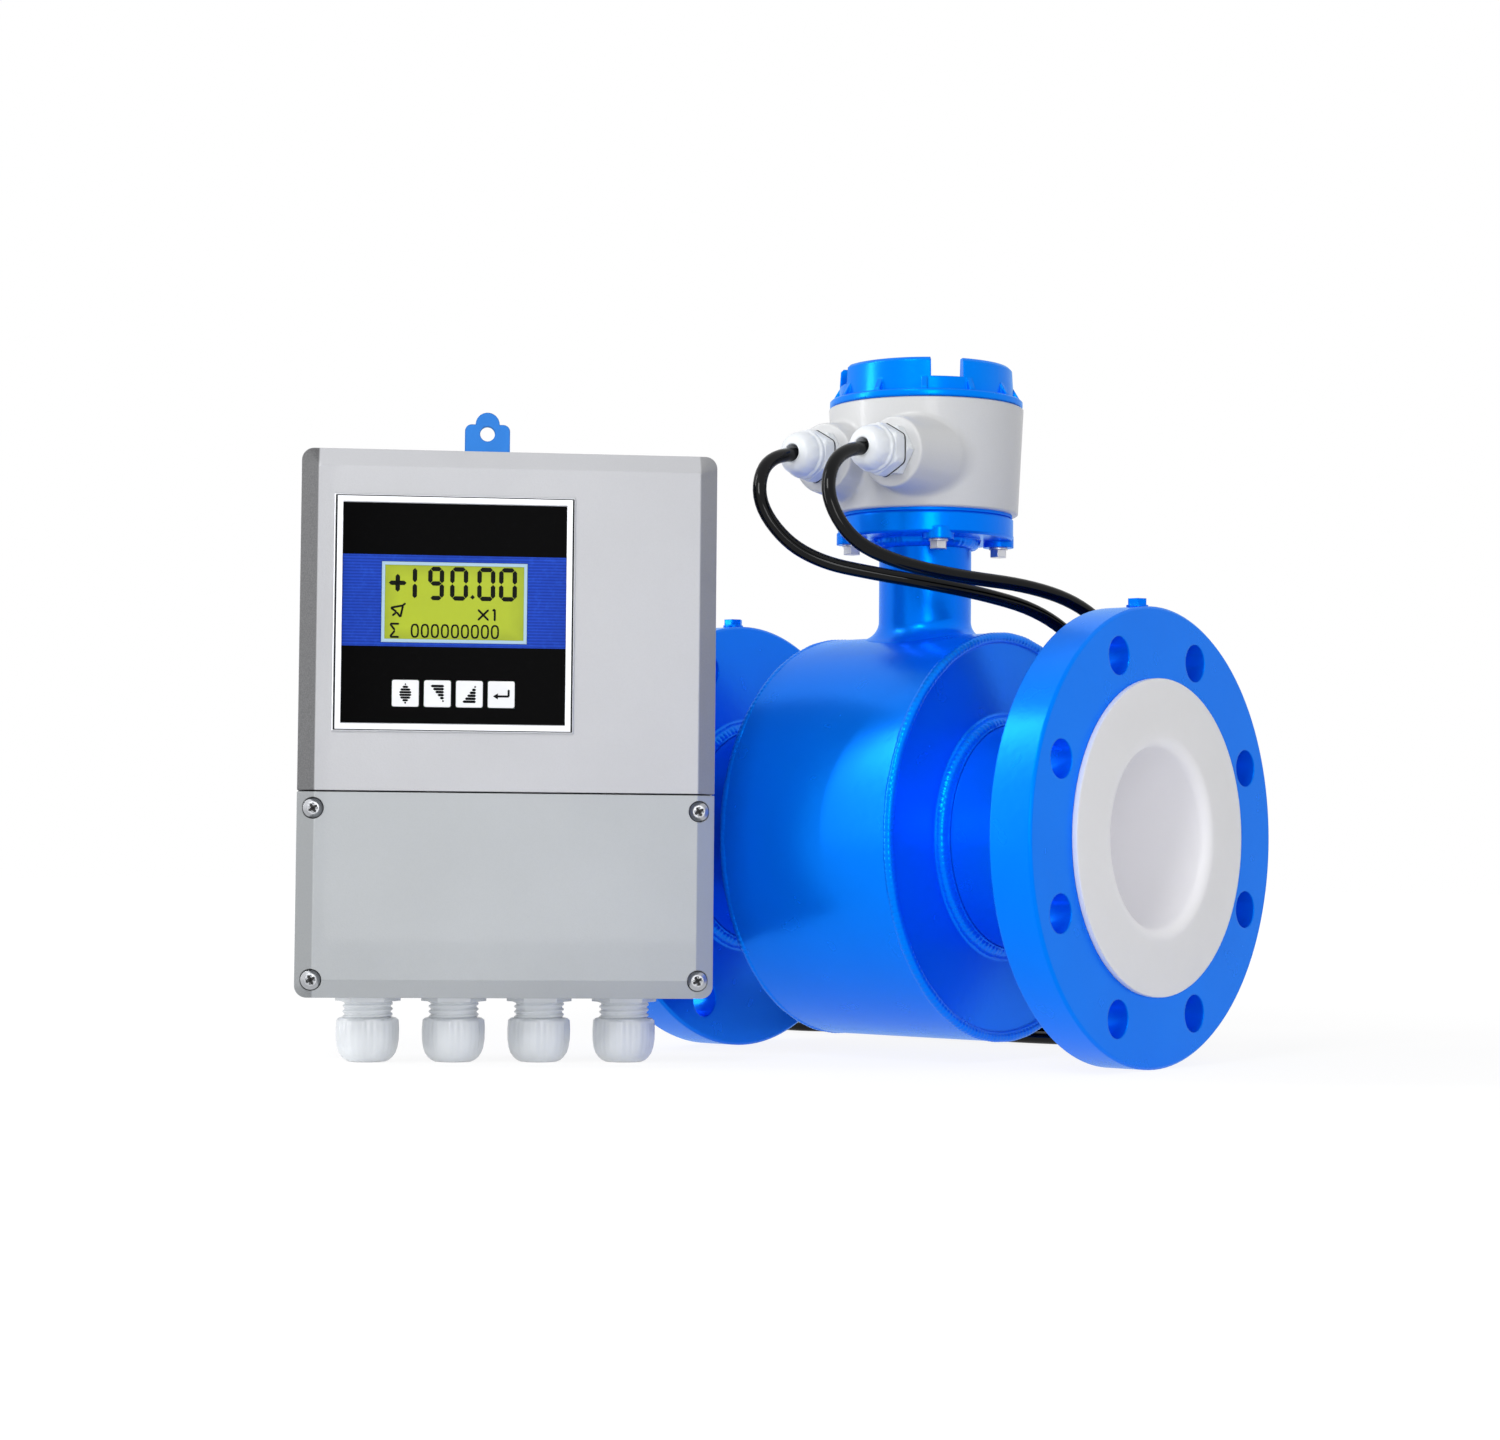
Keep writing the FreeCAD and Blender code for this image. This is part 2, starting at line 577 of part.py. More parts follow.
def bolt_places(pcd, count, first):
    """Points of a bolt circle about +Z."""
    angles = [math.radians(first + 360.0 * k / count) for k in range(count)]
    return [V(pcd / 2 * math.cos(a), pcd / 2 * math.sin(a), 0) for a in angles]


def neck_flange():
    """Plate on the neck that carries the junction box, with four bolt pads and a fillet weld."""
    bore = NECK_R + SLIP_FIT
    z0, z1 = NECK_FLANGE_Z, NECK_TOP_Z
    outer = NECK_FLANGE_R
    weld = NECK_WELD
    body = turned("z", [(z0, bore), (z0, outer - EDGE), (z0 + EDGE, outer), (z1 - EDGE, outer),
                        (z1, outer - EDGE), (z1, bore)])
    body = body.fuse(turned("z", [(z0 - weld, bore), (z0, bore + weld), (z0 + 1, bore + weld),
                                  (z0 + 1, bore)]))
    for place in bolt_places(BOX_BOLT_PCD, 4, BOX_BOLT_ANGLE):
        body = body.fuse(rod("z", PAD_D / 2, z0 - PAD_T, z0 + PAD_T, place))
    for place in bolt_places(BOX_BOLT_PCD, 4, BOX_BOLT_ANGLE):
        body = body.cut(rod("z", BOX_BOLT_D / 2 + CLEAR, z0 - PAD_T - 1, z1 + 1, place))
    return body.removeSplitter()


def box_gasket():
    """Flat gasket under the junction box."""
    body = ring("z", NECK_FLANGE_R - EDGE / 2, NECK_IN_R, NECK_TOP_Z, BOX_Z)
    for place in bolt_places(BOX_BOLT_PCD, 4, BOX_BOLT_ANGLE):
        body = body.cut(rod("z", BOX_BOLT_D / 2 + CLEAR, NECK_TOP_Z - 1, BOX_Z + 1, place))
    return body


def box_bolts():
    """Four hexagon bolts with washers, up through the neck flange."""
    seat = NECK_FLANGE_Z - PAD_T
    under_head = seat - BOX_WASHER_T
    bolt = rod("z", BOX_BOLT_D / 2, under_head, BOX_FLOOR_Z - 1)
    bolt = bolt.fuse(rod("z", BOX_BOLT_D, under_head, seat))
    bolt = bolt.fuse(hexagon(NUT_AF, under_head - BOX_BOLT_HEAD_T, under_head))
    return group([moved(bolt, place) for place in bolt_places(BOX_BOLT_PCD, 4, BOX_BOLT_ANGLE)])


# ---------------------------------------------------------------- sensor: junction box
def junction_box():
    """Cast box with two gland bosses on its front."""
    body = turned("z", [(BOX_Z, 0), (BOX_Z, BOX_BOTTOM_D / 2 - 1), (BOX_Z + 1, BOX_BOTTOM_D / 2),
                        (BOX_TOP_Z, BOX_TOP_D / 2), (BOX_TOP_Z, 0)])
    for side in (-1, 1):
        at = V(side * BOSS_X, 0, BOSS_Z)
        body = body.fuse(rod("y", BOSS_D / 2, -BOSS_FACE_Y, -BOSS_FACE_Y / 2, at))
        wide = BOSS_D / 2 + BOSS_FLARE
        body = body.fuse(turned("y", [(-BOSS_FACE_Y + 6, 0), (-BOSS_FACE_Y + 6, BOSS_D / 2),
                                      (-BOSS_FACE_Y / 2 - 8, wide), (-BOSS_FACE_Y / 2 - 8, 0)], at))
    body = body.cut(rod("z", BOX_BOTTOM_D, BOX_TOP_Z, BOX_TOP_Z + BOSS_D))
    body = body.cut(rod("z", BOX_IN_R, BOX_FLOOR_Z, BOX_TOP_Z + 1))
    body = body.cut(rod("z", NECK_IN_R - CLEAR, BOX_Z - 1, BOX_TOP_Z))
    for side in (-1, 1):
        at = V(side * BOSS_X, 0, BOSS_Z)
        body = body.cut(rod("y", BOX_GLAND["thread_r"] + CLEAR, -BOSS_FACE_Y - 1, -BOX_IN_R / 2, at))
    for place in bolt_places(BOX_BOLT_PCD, 4, BOX_BOLT_ANGLE):
        body = body.cut(rod("z", BOX_BOLT_D / 2 + CLEAR, BOX_Z - 1, BOX_FLOOR_Z - 0.5, place))
    return body.removeSplitter()


def terminal_block():
    """Screw terminal block on the floor of the junction box."""
    half = BLOCK_W / 2
    z0 = BOX_FLOOR_Z + CLEAR / 2
    body = block(-half, half, BLOCK_Y, BLOCK_Y + BLOCK_D, z0, z0 + BLOCK_H)
    for index in range(BLOCK_WAYS):
        x = BLOCK_PITCH * (index - (BLOCK_WAYS - 1) / 2)
        body = body.cut(rod("z", LEAD_D - CLEAR, z0 + 10, z0 + BLOCK_H + 1, V(x, BLOCK_Y + BLOCK_D / 2, 0)))
    return body


def cap_seal():
    """Seal ring under the cap's edge."""
    seat = BOX_TOP_Z + CLEAR / 4
    return ring("z", SEAL_R + SEAL_W / 2, SEAL_R - SEAL_W / 2, seat, BOX_TOP_Z + SEAL_H)


def junction_cap():
    """Screwed cap with a castellated crown, stiffening ribs, a seal groove and a threaded spigot."""
    ring_r, crown_r = CAP_RING_R, CAP_CROWN_R
    spigot_r = BOX_IN_R - CAP_FIT
    inner_r = spigot_r - CAP_SPIGOT_WALL
    spigot_z = BOX_TOP_Z - CAP_SPIGOT_H
    floor_z = CAP_TOP_Z - CAP_NOTCH_H
    under_z = floor_z - CAP_FLOOR_T
    soft = 0.8
    body = turned("z", [(spigot_z, inner_r), (spigot_z, spigot_r - soft), (spigot_z + soft, spigot_r),
                        (CAP_Z, spigot_r), (CAP_Z, ring_r - soft), (CAP_Z + soft, ring_r),
                        (CROWN_Z - soft, ring_r), (CROWN_Z, ring_r - soft), (CROWN_Z, crown_r),
                        (CAP_TOP_Z - 1.5, crown_r - 1), (CAP_TOP_Z, crown_r - 2.5),
                        (CAP_TOP_Z, crown_r - CAP_RIM_W + 1), (floor_z, crown_r - CAP_RIM_W),
                        (floor_z, 0), (under_z, 0), (under_z, inner_r)])
    groove = SEAL_W / 2 + CAP_FIT
    body = body.cut(ring("z", SEAL_R + groove, SEAL_R - groove, CAP_Z - 1, BOX_TOP_Z + SEAL_H + CAP_FIT))
    half = CAP_RIB_T / 2
    root, foot = crown_r - 2, ring_r - 2 * soft
    rib = Part.Face(Part.makePolygon([V(root, -half, CROWN_Z - 0.5), V(foot, -half, CROWN_Z - 0.5),
                                      V(foot, -half, CROWN_Z + 1), V(crown_r - 0.6, -half, floor_z),
                                      V(root, -half, floor_z), V(root, -half, CROWN_Z - 0.5)]))
    rib = rib.extrude(V(0, CAP_RIB_T, 0))
    for index in range(CAP_RIBS):
        body = body.fuse(moved(rib, V(0, 0, 0), V(0, 0, 1), CAP_TURN + 360.0 * (index + 0.5) / CAP_RIBS))
    half = CAP_NOTCH_W / 2
    notch = block(crown_r / 2, ring_r, -half, half, floor_z, CAP_TOP_Z + 1)
    for index in range(CAP_NOTCHES):
        body = body.cut(moved(notch, V(0, 0, 0), V(0, 0, 1), CAP_TURN + 360.0 * index / CAP_NOTCHES))
    return body.removeSplitter()


def ground_screw(side):
    """Earthing screw with a washer in the top of a flange rim."""
    top = FLANGE_OD / 2 + CLEAR / 4
    head = top + GROUND_WASHER_T
    screw = rod("z", GROUND_D / 2, top - GROUND_DEPTH + 2, head)
    screw = screw.fuse(rod("z", GROUND_WASHER_D / 2, top, head))
    screw = screw.fuse(hexagon(GROUND_HEAD_AF, head, head + GROUND_HEAD_T))
    return moved(screw, V(side * (FACE_X - FLANGE_T / 2), 0, 0))


# ---------------------------------------------------------------- cable glands
def gland_body(g):
    """Gland body: entry thread, hexagon flange and outer thread, along +Z from the face."""
    body = rod("z", g["thread_r"], -g["thread_l"], CLEAR + 0.1)
    body = body.fuse(hexagon(g["af"], CLEAR / 2, g["flange"]))
    body = body.fuse(rod("z", g["stub_r"], g["flange"] - 0.1, g["flange"] + g["stub_l"]))
    return body.cut(rod("z", g["bore_r"], -g["thread_l"] - 1, g["flange"] + g["stub_l"] + 1)).removeSplitter()


def gland_nut(g):
    """Domed clamping nut, along +Z outside the gland's hexagon."""
    start = g["nut_start"]
    end = start + g["nut_l"]
    corner = g["nut_af"] / math.sqrt(3)
    dome_z = end - g["dome_l"]
    profile = [(start, 0), (start, corner - 1), (start + 1, corner), (dome_z, corner)]
    steps = 6
    for k in range(1, steps + 1):
        angle = math.pi / 2 * k / steps
        profile.append((dome_z + g["dome_l"] * math.sin(angle),
                        g["dome_r"] + (corner - g["dome_r"]) * math.cos(angle)))
    profile.append((end, 0))
    body = turned("z", profile).common(hexagon(g["nut_af"], start, end))
    inside_end = g["flange"] + g["stub_l"] + 4 * GLAND_GAP
    body = body.cut(rod("z", g["stub_r"] + GLAND_GAP, start - 1, inside_end))
    return body.cut(rod("z", g["mouth_r"], start, end + 1)).removeSplitter()


def gland_seal(g):
    """Rubber sleeve that grips the cable inside the gland."""
    end = g["flange"] + g["stub_l"] + GLAND_GAP
    return ring("z", g["bore_r"] - CLEAR, CABLE_R + CLEAR / 4, end - SEAL_L, end)


def on_box(shape, side):
    """Place a gland piece on one of the box's bosses."""
    return moved(shape, V(side * BOSS_X, -BOSS_FACE_Y, BOSS_Z), V(1, 0, 0), 90)


# ---------------------------------------------------------------- cables
def coil_point(centre, angle, z):
    """Point on the outermost turn of a coil."""
    a = math.radians(angle)
    return V(centre[0] + COIL_PATH_R * math.cos(a), centre[1] + COIL_PATH_R * math.sin(a), z)


SIGNAL_ROUTE = [V(BOSS_X, CABLE_START_Y, BOSS_Z), V(BOSS_X, -90, BOSS_Z), V(22.5, -112, 184.5),
                V(25, -120, 165), V(33, -110, 144), V(46, -89, 134), V(63, -59, 128.5), V(80, -26, 126), V(92, 2, 119),
                V(98, 26, 105), V(99, 46, 82), V(98, 60, 54), V(97, 70, 22), V(96, 74, -14),
                V(94, 74, -50), V(85, 80, -78), V(66, 90, -96), V(36, 99, -103), V(-4, 108, -98),
                V(-48, 125, -91.5)]
EXCITATION_ROUTE = [V(-BOSS_X, CABLE_START_Y, BOSS_Z), V(-BOSS_X, -90, BOSS_Z), V(-22.3, -111, 185),
                    V(-19, -118, 165), V(-10, -107, 146), V(3, -93, 136), V(20, -79, 131.5),
                    V(41, -61, 127),
                    V(60, -36, 122), V(76, -10, 115), V(85, 14, 101), V(87, 34, 80), V(86, 52, 56),
                    V(84, 66, 26), V(82, 72, -10), V(80, 76, -46), V(76, 86, -77), V(60, 103, -99),
                    V(34, 116, -109.5), V(0, 119, -110.4), V(-42, 121, -110.6), V(-86, 119, -109),
                    V(-132, 117, -99)]


def cable(points, centre, entry):
    """Free stretch of a cable, from its gland to the outermost turn of its coil."""
    return tube_along(points + [coil_point(centre, entry, COIL_TOP_ROW_Z)], CABLE_D)


def cable_coil(centre):
    """Outer shape of a put-away coil, lying on the floor."""
    at = V(centre[0], centre[1], 0)
    return ring("z", COIL_OUT_R, COIL_MEAN_R - COIL_HALF_W, FLOOR_Z, FLOOR_Z + COIL_H, at)


def cable_end():
    """Prepared cable end along +X: core of the jacket, shrink boot and three cores with ferrules."""
    body = rod("x", CABLE_R - CLEAR, 8, JACKET_END).fuse(rod("x", BOOT_D / 2, 32, 58))
    for index in range(CORES):
        angle = math.radians(90 + 360 * index / CORES)
        place = V(0, 2.0 * math.cos(angle), 2.0 * math.sin(angle))
        body = body.fuse(rod("x", CORE_R, 57, 84, place))
        body = body.fuse(rod("x", CORE_R - 0.3, 84, 92, place))
        body = body.fuse(rod("x", CORE_R + 0.4, 80, 85, place))
    return body.removeSplitter()


def cable_end_at(centre, angle):
    """Place a cable end so that it leaves the coil's lowest outer turn clockwise."""
    start = coil_point(centre, angle, FLOOR_Z + BOOT_D / 2)
    return moved(cable_end(), start, V(0, 0, 1), angle - 90)


# ---------------------------------------------------------------- converter
def conv(shape):
    """Place a piece modelled in the converter's own frame: +X right, +Y back, +Z up from the floor.

    The converter's rear right corner keeps its place beside the inlet flange.
    """
    angle = math.radians(CONV_ANGLE)
    right, back = V(math.cos(angle), math.sin(angle), 0), V(-math.sin(angle), math.cos(angle), 0)
    corner = V(CONV_CORNER_X - LAY_LENGTH / 2, CONV_CORNER_Y - FLANGE_OD / 2, FLOOR_Z)
    return moved(shape, corner - right * (CONV_W / 2) - back * CONV_D, V(0, 0, 1), CONV_ANGLE)


def conv_posts(y0, y1, radius):
    """Four posts for the rear screws."""
    x = CONV_W / 2 - REAR_SCREW_EDGE
    heights = (PARTING + REAR_SCREW_LOW, CONV_H - REAR_SCREW_HIGH)
    return [rod("y", radius, y0, y1, V(side * x, 0, CONV_BASE_Z + z)) for side in (-1, 1) for z in heights]


def cover_screw_places():
    """Screw places of the terminal cover."""
    x = CONV_W / 2 - COVER_SCREW_EDGE
    heights = (COVER_SCREW_LOW, PARTING - COVER_SCREW_HIGH)
    return [V(side * x, 0, CONV_BASE_Z + z) for side in (-1, 1) for z in heights]


def bevelled(x0, x1, z0, z1, inset, front_radii, rear_radii, depth):
    """Cover block: a bevelled front and straight sides; inset is (left, right, bottom, top)."""
    left, right, bottom, top = inset
    front = outline(x0 + left, x1 - right, z0 + bottom, z1 - top, 0, front_radii)
    middle = outline(x0, x1, z0, z1, BEVEL_D, rear_radii)
    bevel = Part.makeLoft([front, middle], True, True)
    return bevel.fuse(plate(x0, x1, BEVEL_D, depth, z0, z1, rear_radii)).removeSplitter()


def front_cover():
    """Upper cover: bevelled shell with a pocket for the display panel and bosses for its screws."""
    half = CONV_W / 2
    z0 = CONV_BASE_Z + PARTING + PARTING_GAP / 2
    z1 = CONV_BASE_Z + CONV_H
    body = bevelled(-half, half, z0, z1, (BEVEL_W, BEVEL_W, 0.1, BEVEL_W), (0.5, 0.5, 1, 1),
                    (0.5, 0.5, CORNER_R, CORNER_R), COVER_D)
    wall = COVER_WALL
    hollow = plate(-half + wall, half - wall, wall + BEVEL_D, COVER_D + 1, z0 + wall, z1 - wall, (1, 1, 3, 3))
    hollow = hollow.fuse(plate(-half + BEVEL_W + 2, half - BEVEL_W - 2, wall, COVER_D, z0 + wall,
                               z1 - BEVEL_W - 2, (1, 1, 1, 1)))
    body = body.cut(hollow)
    for post in conv_posts(wall - 1, COVER_D, POST_R):
        body = body.fuse(post.common(block(-half + 1, half - 1, 0, COVER_D, z0 + 0.5, z1 - 1)))
    for hole in conv_posts(10, COVER_D + 1, SCREW_D / 2 + CLEAR):
        body = body.cut(hole)
    body = body.cut(panel_block(PANEL_FIT, -1, POCKET))
    return body.cut(panel_block(-3, POCKET - 1, wall + 1)).removeSplitter()


def panel_block(grow, y0, y1):
    """Block of the display panel's outline, grown on every side."""
    z = CONV_BASE_Z + PANEL_Z
    return block(PANEL_X - PANEL_W / 2 - grow, PANEL_X + PANEL_W / 2 + grow, y0, y1,
                 z - PANEL_H / 2 - grow, z + PANEL_H / 2 + grow)


def terminal_cover():
    """Lower cover over the terminals, with four sunk screw seats."""
    half = CONV_W / 2
    z0 = CONV_BASE_Z
    z1 = CONV_BASE_Z + PARTING - PARTING_GAP / 2
    body = bevelled(-half, half, z0, z1, (BEVEL_W, BEVEL_W, BEVEL_W, 0.1), (2, 2, 0.5, 0.5),
                    (CORNER_R, CORNER_R, 0.5, 0.5), COVER_D)
    wall = COVER_WALL
    body = body.cut(plate(-half + 15, half - 15, wall, COVER_D + 1, z0 + 15, z1 - wall, (2, 2, 1, 1)))
    for place in cover_screw_places():
        body = body.cut(rod("y", COVER_SCREW_HEAD_D / 2 + 0.5, -1, SCREW_SEAT_Y, place))
        body = body.cut(rod("y", SCREW_D / 2 + CLEAR, 0, COVER_D + 1, place))
    return body


def terminal_cover_screws():
    """Cross-recess screws of the terminal cover."""
    screws = []
    seat, radius = SCREW_SEAT_Y - CLEAR / 2, COVER_SCREW_HEAD_D / 2
    for place in cover_screw_places():
        head = turned("y", [(seat, 0), (seat, radius), (seat - 1.9, radius), (seat - 3.1, radius - 1.8),
                            (seat - 3.3, 0)], place)
        screw = head.fuse(rod("y", SCREW_D / 2, seat - 1, SCREW_SEAT_Y + COVER_SCREW_L, place))
        for wide, high in ((2.3, 0.5), (0.5, 2.3)):
            screw = screw.cut(block(place.x - wide, place.x + wide, seat - 4, seat - 1.3,
                                    place.z - high, place.z + high))
        screws.append(screw)
    return group(screws)


def converter_housing():
    """Moulded back box: two compartments, screw posts, board posts and gland holes."""
    half = CONV_W / 2
    y0 = COVER_D + COVER_GASKET_T
    z0, z1 = CONV_BASE_Z, CONV_BASE_Z + CONV_H
    wall = HOUSING_SHELL
    radii = (CORNER_R,) * 4
    body = plate(-half, half, y0, CONV_D, z0, z1, radii)
    middle = CONV_BASE_Z + PARTING
    low = plate(-half + wall, half - wall, y0 - 1, CONV_D - wall, z0 + wall, middle - wall / 2, (3, 3, 1, 1))
    high = plate(-half + wall, half - wall, y0 - 1, CONV_D - wall, middle + wall / 2, z1 - wall, (1, 1, 3, 3))
    body = body.cut(low).cut(high)
    keep = block(-half + 1, half - 1, y0, CONV_D - 1, z0 + 1, z1 - 1)
    screw_hole = SCREW_D / 2 + CLEAR
    for post in conv_posts(y0, CONV_D - 1, POST_R):
        body = body.fuse(post.common(keep))
    for place in cover_screw_places():
        body = body.fuse(rod("y", POST_R, y0, CONV_D - 1, place).common(keep))
        body = body.cut(rod("y", screw_hole, y0 - 1, SCREW_SEAT_Y + COVER_SCREW_L + 2, place))
    for hole in conv_posts(y0 - 1, CONV_D + 1, screw_hole):
        body = body.cut(hole)
    for hole in conv_posts(CONV_D - REAR_HEAD_DEPTH - CLEAR, CONV_D + 1, REAR_HEAD_D / 2 + 2 * CLEAR):
        body = body.cut(hole)
    for place in board_posts():
        body = body.fuse(rod("y", BOARD_POST_R, BOARD_Y + BOARD_T + CLEAR / 2, CONV_D - 1, place))
    for place in hanger_screw_places():
        body = body.fuse(rod("y", POST_R, CONV_D - 12, CONV_D - 1, place))
        body = body.cut(rod("y", screw_hole, CONV_D - 11, CONV_D + 1, place))
    thread_hole = CONV_GLAND["thread_r"] + CLEAR
    for x in conv_gland_xs():
        body = body.cut(rod("z", thread_hole, z0 - 1, z0 + wall + 1, V(x, CONV_GLAND_Y, 0)))
    return body.removeSplitter()


def board_posts():
    """Places of the main board's posts."""
    x = BOARD_HALF_W - BOARD_POST_IN
    heights = (BOARD_Z0 + BOARD_POST_IN, BOARD_Z1 - BOARD_POST_IN)
    return [V(side * x, 0, CONV_BASE_Z + z) for side in (-1, 1) for z in heights]


def main_board():
    """Main circuit board with its larger components, placed from the board's middle."""
    z = CONV_BASE_Z + (BOARD_Z0 + BOARD_Z1) / 2
    body = block(-BOARD_HALF_W, BOARD_HALF_W, BOARD_Y, BOARD_Y + BOARD_T, CONV_BASE_Z + BOARD_Z0,
                 CONV_BASE_Z + BOARD_Z1)
    for x0, x1, z0, z1, height in ((10, 34, 5, 29, 3.0), (-40, -22, 20, 50, 8.0), (40, 62, -35, -27, 10.0),
                                   (-64, -50, -30, -14, 6.0), (38, 54, 36, 50, 12.0)):
        body = body.fuse(block(x0, x1, BOARD_Y - height, BOARD_Y + BOARD_T / 2, z + z0, z + z1))
    return body.removeSplitter()


def power_module():
    """Potted mains transformer on the main board."""
    z = CONV_BASE_Z + BOARD_Z0 + 8
    body = block(-44, 6, BOARD_Y - 22, BOARD_Y - CLEAR / 2, z, z + 42)
    return body.makeFillet(2.0, [edge for edge in body.Edges if abs(edge.tangentAt(0).y) > 0.9])


def display_board():
    """Small board behind the display panel that carries the display and the key switches."""
    z = CONV_BASE_Z + PANEL_Z
    half_w, half_h = PANEL_W / 2 - DISPLAY_BOARD_EDGE, PANEL_H / 2 - DISPLAY_BOARD_EDGE
    face = SWITCH_Y + BOARD_T
    body = block(PANEL_X - half_w, PANEL_X + half_w, face, face + BOARD_T, z - half_h, z + half_h)
    half = SWITCH_W / 2
    for x in key_xs():
        body = body.fuse(block(x - half, x + half, SWITCH_Y, face + BOARD_T / 2, CONV_BASE_Z + KEY_Z - half,
                               CONV_BASE_Z + KEY_Z + half))
    for side_x in (-1, 1):
        for side_z in (-1, 1):
            place = V(PANEL_X + side_x * (half_w - 4), 0, z + side_z * (half_h - 4))
            body = body.fuse(rod("y", 2.5, COVER_WALL + CLEAR / 2, face + BOARD_T / 2, place))
    return body.removeSplitter()


def display_overlay():
    """Front panel with a window for the display and openings for the keys."""
    body = panel_block(0, PANEL_Y, PANEL_Y + PANEL_T)
    z = CONV_BASE_Z + LCD_Z
    half_w, half_h = LCD_W / 2 + CLEAR, LCD_H / 2 + CLEAR
    body = body.cut(block(PANEL_X - half_w, PANEL_X + half_w, -1, POCKET + 1, z - half_h, z + half_h))
    half = KEY_SIZE / 2 + KEY_FIT
    z = CONV_BASE_Z + KEY_Z
    for x in key_xs():
        body = body.cut(block(x - half, x + half, -1, POCKET + 1, z - half, z + half))
    return body


def display_frame():
    """Raised frame around the display panel."""
    body = panel_block(FRAME_W, -FRAME_T, -CLEAR / 4).cut(panel_block(-FRAME_LIP, -FRAME_T - 1, 1))
    rim = [edge for edge in body.Edges if edge.Length > PANEL_H and abs(edge.CenterOfMass.y + FRAME_T) < 0.01]
    return body.makeChamfer(0.4, rim)


def lcd_module():
    """Display glass in its metal bezel, standing on the display board."""
    z = CONV_BASE_Z + LCD_Z
    front = PANEL_Y + LCD_DEPTH
    half_w, half_h = LCD_W / 2, LCD_H / 2
    body = block(PANEL_X - half_w, PANEL_X + half_w, front, SWITCH_Y + BOARD_T - CLEAR / 2,
                 z - half_h, z + half_h)
    half_w, half_h = half_w - LCD_BORDER, half_h - LCD_BORDER
    return body.cut(block(PANEL_X - half_w, PANEL_X + half_w, front - 1, front + LCD_DEPTH,
                          z - half_h, z + half_h))


def key_xs():
    """Middles of the keys."""
    return [PANEL_X + KEY_PITCH * (index - (KEYS - 1) / 2) for index in range(KEYS)]


def key(x):
    """Key cap with its plunger towards the switch."""
    half = KEY_SIZE / 2
    z = CONV_BASE_Z + KEY_Z
    front = PANEL_Y - KEY_RISE
    cap = plate(x - half, x + half, front, front + KEY_T, z - half, z + half, (1,) * 4)
    stem = rod("y", KEY_STEM_R, front + KEY_T / 2, SWITCH_Y - KEY_TRAVEL - CLEAR / 2, V(x, 0, z))
    return cap.fuse(stem).removeSplitter()


def terminal_strip():
    """Screw terminal strip in the lower compartment."""
    z = CONV_BASE_Z + STRIP_Z
    back = CONV_D - HOUSING_SHELL - CLEAR / 2
    half = CONV_W / 2 - STRIP_EDGE
    body = block(-half, half, back - STRIP_D, back, z - STRIP_H / 2, z + STRIP_H / 2)
    for index in range(STRIP_WAYS):
        x = STRIP_PITCH * (index - (STRIP_WAYS - 1) / 2)
        body = body.cut(rod("y", 2.4, back - STRIP_D - 1, back - STRIP_D + 8, V(x, 0, z)))
    return body


def cover_gasket():
    """Flat gasket between the back box and both covers."""
    half = CONV_W / 2 - 0.8
    z0, z1 = CONV_BASE_Z + 0.8, CONV_BASE_Z + CONV_H - 0.8
    inner = CONV_W / 2 - HOUSING_SHELL
    middle = CONV_BASE_Z + PARTING
    y0, y1 = COVER_D, COVER_D + COVER_GASKET_T
    body = plate(-half, half, y0, y1, z0, z1, (CORNER_R,) * 4)
    wall = HOUSING_SHELL
    for low, high in ((CONV_BASE_Z + wall, middle - wall / 2), (middle + wall / 2, CONV_BASE_Z + CONV_H - wall)):
        body = body.cut(plate(-inner, inner, y0 - 1, y1 + 1, low, high, (3,) * 4))
    for place in cover_screw_places():
        body = body.cut(rod("y", SCREW_D / 2 + CLEAR, y0 - 1, y1 + 1, place))
    for hole in conv_posts(y0 - 1, y1 + 1, SCREW_D / 2 + CLEAR):
        body = body.cut(hole)
    return body


def front_cover_screws():
    """Long screws from the rear that hold the front cover."""
    seats = conv_posts(CONV_D - REAR_HEAD_DEPTH, CONV_D - 0.5, REAR_HEAD_D / 2)
    shanks = conv_posts(11, CONV_D - REAR_HEAD_DEPTH + 1, SCREW_D / 2)
    return group([head.fuse(shank).removeSplitter() for head, shank in zip(seats, shanks)])


def hanger_screw_places():
    """Places of the two screws of the hanger."""
    z = CONV_BASE_Z + CONV_H - HANGER_SCREW_Z
    return [V(HANGER_X + side * HANGER_SCREW_X, 0, z) for side in (-1, 1)]


def hanger_bracket():
    """Hanging plate on the back: shoulders and a raised eye above the box."""
    top = CONV_BASE_Z + CONV_H
    y0 = CONV_D + CLEAR / 4
    y1 = y0 + HANGER_T
    half, neck = HANGER_W / 2, HANGER_NECK_W / 2
    body = plate(HANGER_X - half, HANGER_X + half, y0, y1, top - HANGER_FOOT, top + 1, (2,) * 4)
    body = body.fuse(plate(HANGER_X - neck, HANGER_X + neck, y0, y1, top - 6, top + HANGER_EYE_Z,
                           (0.5, 0.5, 3.5, 3.5)))
    body = body.fuse(rod("y", HANGER_EYE_R, y0, y1, V(HANGER_X, 0, top + HANGER_EYE_Z)))
    body = body.cut(rod("y", HANGER_HOLE_D / 2, y0 - 1, y1 + 1, V(HANGER_X, 0, top + HANGER_HOLE_Z)))
    for place in hanger_screw_places():
        body = body.cut(rod("y", SCREW_D / 2 + CLEAR, y0 - 1, y1 + 1, place))
    return body.removeSplitter()


